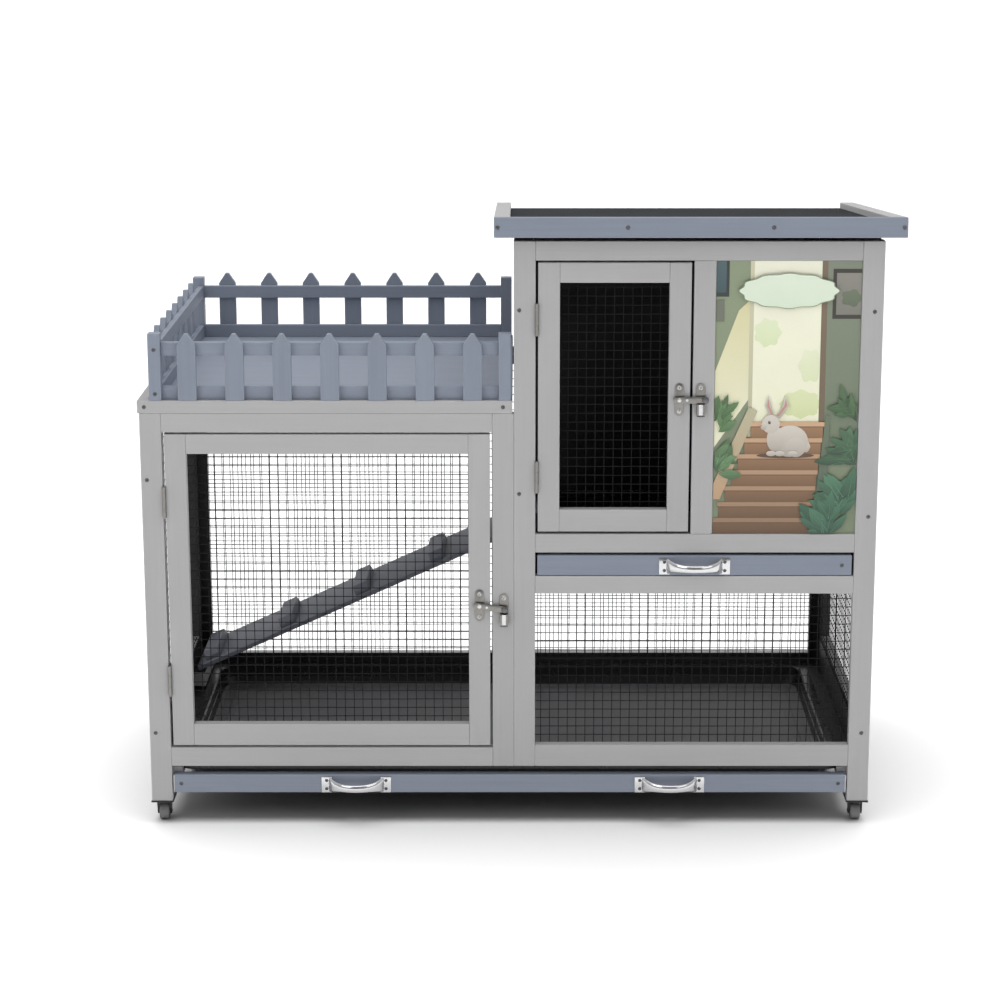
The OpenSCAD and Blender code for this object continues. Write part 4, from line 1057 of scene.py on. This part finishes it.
class HUTCH_OT_trays(HutchPart, bpy.types.Operator):
    """Builds both pull-out trays: fronts, drafted pans, bow handles and screws"""

    bl_idname = "hutch.trays"
    bl_label = "Trays"

    RIM_T, WALL_T = 0.002, 0.002

    def build(self, sizes, colours, light):
        for tray, handles, rim in (("lower", "lower_tray_handles", 0.012), ("upper", "upper_tray_handle", 0.008)):
            boards(f"{tray}_tray_front", *BLUE_PAINT, sizes.board_rounding)
            self.pan(tray, rim, sizes)
            self.fittings(tray, handles, sizes)

    def pan(self, tray, rim, sizes):
        """One pressed sheet: a turned-down rim, leaning walls with cut corners, and a ribbed floor."""
        low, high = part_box(f"{tray}_tray_pan")
        wall, draft, deep = self.WALL_T, sizes.pan_draft, high.z - low.z
        rings = (
            (rim + draft + wall * 0.8, 0.0), (rim + draft - 0.001, 0.0025), (rim - wall * 0.4, deep - 0.004),
            (wall, deep - self.RIM_T), (wall, deep - 0.007), (0.0, deep - 0.007), (0.0, deep - 0.0008),
            (0.0008, deep), (rim, deep), (rim + 0.0022, deep - 0.0025), (rim + 0.0030, deep * 0.55),
            (rim + 0.0042, deep * 0.52), (rim + draft - 0.001, 0.007), (rim + draft + 0.003, 0.0035),
            (rim + draft + 0.016, wall), (rim + draft + 0.018, wall + 0.0015), (rim + draft + 0.028, wall + 0.0015),
            (rim + draft + 0.030, wall),
        )
        mesh = bmesh.new()
        loops = [self.ring(mesh, low, high, inset, low.z + up) for inset, up in rings]
        for lower, upper in zip(loops, loops[1:]):
            for index, vert in enumerate(lower):
                after = (index + 1) % len(lower)
                mesh.faces.new((vert, lower[after], upper[after], upper[index]))
        mesh.faces.new(loops[0][::-1])
        mesh.faces.new(loops[-1])
        bmesh.ops.recalc_face_normals(mesh, faces=mesh.faces)
        # up-facing floor faces get a lighter copy of the pan's black plastic: painted light, with real grain and
        # roughness
        for face in mesh.faces:
            if face.normal.z > 0.6 and face.calc_center_median().z < low.z + 0.006:
                face.material_index = 1
        finish_piece(
            f"{tray}_tray_moulded_pan", mesh, ["black_pan", "pan_floor_painted_light"], f"{tray}_tray", "black_pan",
            f"{tray}_tray_pan", smooth=26,
        )

    def ring(self, mesh, low, high, inset, z):
        """A rectangle with rounded corners, inset into the pan's outline."""
        radius, verts = max(0.026 - inset * 0.35, 0.014), []
        for sx, sy, start in ((1, 1, 0), (-1, 1, 90), (-1, -1, 180), (1, -1, 270)):
            centre = Vector((
                (high.x - inset - radius) if sx > 0 else (low.x + inset + radius),
                (high.y - inset - radius) if sy > 0 else (low.y + inset + radius), z,
            ))
            for step in range(6):
                angle = math.radians(start + step * 18)
                verts.append(mesh.verts.new(centre + Vector((math.cos(angle), math.sin(angle), 0)) * radius))
        return verts

    def fittings(self, tray, node, sizes):
        """The bow handles, their plates, and the screws in the front."""
        mesh, screws = bmesh.new(), bmesh.new()
        for low, high in solid_boxes(node):
            centre = (low + high) / 2
            if (high - low).x < 0.02:
                spot = Vector((centre.x, high.y + SCREW_SINK, centre.z))
                screw_at(screws, spot, -Y, sizes.screw_radius, centre.x * 9)
                continue
            seat = Vector((centre.x, FRONT_Y, centre.z))
            self.handle(mesh, screws, seat, (high - low).x / 2, FRONT_Y - low.y)
        body = f"{tray}_tray"
        finish_piece(body + "_pulls", mesh, ["chrome_handles"], body, "chrome_handles", node, smooth=40)
        finish_piece(body + "_screws", screws, ["screw_heads"], body, "screw_heads", smooth=35)

    def handle(self, mesh, screws, seat, half, reach):
        """A bow handle: a plate with two screws at each end, and a bar that swells in the middle."""
        plate_half, plate_t = Vector((0.0075, 0, 0.012)), 0.0015
        for side in (-1, 1):
            centre = seat + X * side * (half - plate_half.x)
            fresh = cuboid(mesh, centre - plate_half - Y * plate_t, centre + plate_half)
            round_edges(mesh, 0.0006, edges=list({e for v in fresh for e in v.link_edges}))
            for up in (-0.0062, 0.0062):
                screw_at(screws, centre - Y * plate_t + Z * up, -Y, 0.0025, centre.x * 20 + up * 300)
        bow_half, rise, thick = half - 2 * plate_half.x + 0.003, reach - 0.0058, 0.0043
        radius = (bow_half**2 + rise**2) / (2 * rise)
        turn = math.asin(min(1.0, bow_half / radius))
        hub = seat + Y * (radius - rise - plate_t)
        start = hub + Matrix.Rotation(-turn, 3, "Z") @ Vector((0, -radius, 0))
        tilt = Matrix.Rotation(-turn, 4, "Z") @ Matrix.Rotation(math.radians(90), 4, "Y")
        ring = bmesh.ops.create_circle(
            mesh, cap_ends=True, segments=16, radius=thick, matrix=Matrix.Translation(start) @ tilt
        )["verts"]
        face = ring[0].link_faces[0]
        bmesh.ops.spin(
            mesh, geom=[face, *face.edges, *face.verts], axis=Z, cent=hub, angle=2 * turn, steps=20,
            use_duplicate=False,
        )
        bow = linked(ring)
        for vert in bow:
            spoke = vert.co - hub
            angle = math.atan2(spoke.x, -spoke.y)
            share = abs(angle) / turn
            slim = 1.0 - 0.45 * share**2
            core = hub + Vector((math.sin(angle), -math.cos(angle), 0)) * radius
            offset = vert.co - core
            wide = 1.3 + 1.3 * share**3
            vert.co = core + Vector((offset.x * slim * 0.8, offset.y * slim * 0.8, offset.z * wide))
        bmesh.ops.recalc_face_normals(mesh, faces=faces_of(bow))


class HUTCH_OT_casters(HutchPart, bpy.types.Operator):
    """Builds the four swivel casters"""

    bl_idname = "hutch.casters"
    bl_label = "Casters"

    HOLE_X, HOLE_Y, PLATE_T, SCREW_R = 0.0115, 0.0135, 0.002, 0.0024

    def build(self, sizes, colours, light):
        plates = merged("caster_plates")
        round_edges(plates, 0.0004)
        for low, high in solid_boxes("caster_plates"):
            centre = (low + high) / 2
            for sx, sy in ((-1, -1), (-1, 1), (1, -1), (1, 1)):
                spot = Vector((centre.x + sx * self.HOLE_X, centre.y + sy * self.HOLE_Y, high.z - self.PLATE_T))
                screw_at(plates, spot, -Z, self.SCREW_R, sx + 2 * sy)
        finish_piece(
            "caster_top_plates", plates, ["caster_metal"], "root", "caster_metal", "caster_plates", smooth=30
        )
        for end in ("front", "back"):
            for side in ("left", "right"):
                self.caster(f"{end}_{side}")

    def caster(self, place):
        """A swivel fork, and a wheel turned from one profile."""
        fork = merged(f"caster_fork_{place}")
        round_edges(fork, 0.0003, segments=1)
        finish_piece(
            f"caster_frame_{place}", fork, ["caster_metal"], f"caster_{place}", "caster_metal",
            f"caster_fork_{place}", smooth=30,
        )
        low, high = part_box(f"caster_wheel_{place}")
        centre, radius, half = (low + high) / 2, (high.z - low.z) / 2, (high.x - low.x) / 2
        profile = (
            (0.17, 0.92), (0.30, 0.92), (0.33, 1.0), (0.42, 1.0), (0.46, 0.80), (0.74, 0.80), (0.78, 0.98),
            (0.90, 0.96), (0.98, 0.70), (1.0, 0.35),
        )
        points = [*profile, *((r, -x) for r, x in reversed(profile))]
        mesh = bmesh.new()
        verts = [mesh.verts.new(centre + Vector((x * half, 0, r * radius))) for r, x in points]
        edges = [mesh.edges.new(pair) for pair in zip(verts, verts[1:] + verts[:1])]
        bmesh.ops.spin(
            mesh, geom=verts + edges, axis=X, cent=centre, angle=2 * math.pi, steps=40, use_merge=True,
            use_duplicate=False,
        )
        bmesh.ops.remove_doubles(mesh, verts=mesh.verts, dist=MERGE)
        bmesh.ops.recalc_face_normals(mesh, faces=mesh.faces)
        finish_piece(
            f"caster_tyre_{place}", mesh, ["wheel_rubber"], f"wheel_{place}", "wheel_rubber",
            f"caster_wheel_{place}", smooth=40,
        )


class HUTCH_OT_stage(HutchPart, bpy.types.Operator):
    """Sets the pale floor, the soft lights and the camera"""

    bl_idname = "hutch.stage"
    bl_label = "Stage"

    EYE, LEAN = (-0.0018, -3.528, 1.326), 12.55
    LENS, SHIFT = 87.23, (-0.017, -0.08)

    def build(self, sizes, colours, light):
        self.floor(colours)
        self.world(light)
        self.lights(light)
        self.camera()
        bpy.context.scene.view_settings.view_transform = "Standard"

    def floor(self, colours):
        mesh = bmesh.new()
        bmesh.ops.create_grid(mesh, x_segments=1, y_segments=1, size=30)
        data = bpy.data.meshes.new("studio_floor")
        mesh.to_mesh(data)
        mesh.free()
        look = bpy.data.materials.new("studio_floor")
        look.use_nodes = True
        shader = look.node_tree.nodes["Principled BSDF"]
        shader.inputs["Base Color"].default_value = (*colours.floor, 1)
        shader.inputs["Roughness"].default_value = 0.9
        data.materials.append(look)
        floor = bpy.data.objects.new("studio_floor", data)
        bpy.context.scene.collection.objects.link(floor)

    def world(self, light):
        world = bpy.data.worlds.new("studio")
        bpy.context.scene.world = world
        world.use_nodes = True
        tree = world.node_tree
        back = tree.nodes["Background"]
        place = tree.nodes.new("ShaderNodeTexCoord")
        split = tree.nodes.new("ShaderNodeSeparateXYZ")
        tree.links.new(place.outputs["Generated"], split.inputs[0])
        strength = light.sky
        for axis, values in (("Z", (-0.1, 0.9, 0.80, 1.25)), ("Y", (-1.0, 0.2, 0.25, 1.0))):
            ramp = tree.nodes.new("ShaderNodeMapRange")
            for label, value in zip(("From Min", "From Max", "To Min", "To Max"), values):
                ramp.inputs[label].default_value = value
            tree.links.new(split.outputs[axis], ramp.inputs["Value"])
            strength = maths(tree, "MULTIPLY", ramp.outputs["Result"], strength)
        path = tree.nodes.new("ShaderNodeLightPath")
        seen = tree.nodes.new("ShaderNodeMix")
        tree.links.new(path.outputs["Is Camera Ray"], seen.inputs["Factor"])
        tree.links.new(strength, seen.inputs["A"])
        seen.inputs["B"].default_value = 1.02
        back.inputs["Color"].default_value = (1, 1, 1, 1)
        tree.links.new(seen.outputs["Result"], back.inputs["Strength"])

    def lights(self, light):
        target = Vector((0, 0, 0.42))
        for name, spot, size, power in (
            ("key_softbox", (-2.4, -3.2, 3.0), 2.2, light.key),
            ("fill_softbox", (2.8, -2.8, 2.6), 2.2, light.fill),
            ("top_softbox", (0.0, -0.2, 3.4), 2.6, light.top),
        ):
            holder = self.lamp(name, "AREA", power, spot)
            holder.data.shape = "SQUARE"
            holder.data.size = size
            holder.rotation_mode = "QUATERNION"
            holder.rotation_quaternion = (target - Vector(spot)).to_track_quat("-Z", "Y")
        holder = self.lamp("floor_wash", "SUN", light.wash, (0, 0, 4))
        holder.data.angle = math.radians(60)
        lit = bpy.data.collections.new("lit_by_floor_wash")
        lit.objects.link(bpy.data.objects["studio_floor"])
        holder.light_linking.receiver_collection = lit

    def lamp(self, name, kind, energy, spot):
        data = bpy.data.lights.new(name, kind)
        data.energy = energy
        holder = bpy.data.objects.new(name, data)
        holder.location = spot
        bpy.context.scene.collection.objects.link(holder)
        return holder

    def camera(self):
        data = bpy.data.cameras.new("camera")
        data.lens = self.LENS
        data.sensor_width = 36.0
        data.shift_x, data.shift_y = self.SHIFT
        holder = bpy.data.objects.new("camera", data)
        holder.location = self.EYE
        holder.rotation_euler = (math.radians(90 - self.LEAN), 0, 0)
        bpy.context.scene.collection.objects.link(holder)
        bpy.context.scene.camera = holder


OPERATORS = (
    HUTCH_OT_finishes, HUTCH_OT_stage, HUTCH_OT_frame_boards, HUTCH_OT_doors, HUTCH_OT_deck, HUTCH_OT_ramp,
    HUTCH_OT_roof, HUTCH_OT_wire, HUTCH_OT_picture, HUTCH_OT_hinges, HUTCH_OT_screws, HUTCH_OT_latches,
    HUTCH_OT_trays, HUTCH_OT_casters,
)


class HUTCH_PT_panel(bpy.types.Panel):
    """Lists the hutch's parts and settings"""

    bl_idname = "HUTCH_PT_panel"
    bl_label = "Rabbit hutch"
    bl_space_type = "VIEW_3D"
    bl_region_type = "UI"
    bl_category = "Hutch"

    def draw(self, context):
        for group in SETTINGS:
            settings = getattr(context.scene, group)
            for name in settings.__annotations__:
                self.layout.prop(settings, name)
        for each in OPERATORS:
            self.layout.operator(each.bl_idname)


CLASSES = (*SETTINGS.values(), *OPERATORS, HUTCH_PT_panel)


def register():
    for each in CLASSES:
        bpy.utils.register_class(each)
    for name, group in SETTINGS.items():
        setattr(bpy.types.Scene, name, PointerProperty(type=group))


def unregister():
    for name in SETTINGS:
        delattr(bpy.types.Scene, name)
    for each in reversed(CLASSES):
        bpy.utils.unregister_class(each)


def main():
    register()
    for each in OPERATORS:
        family, name = each.bl_idname.split(".")
        getattr(getattr(bpy.ops, family), name)()


if __name__ == "__main__":
    main()
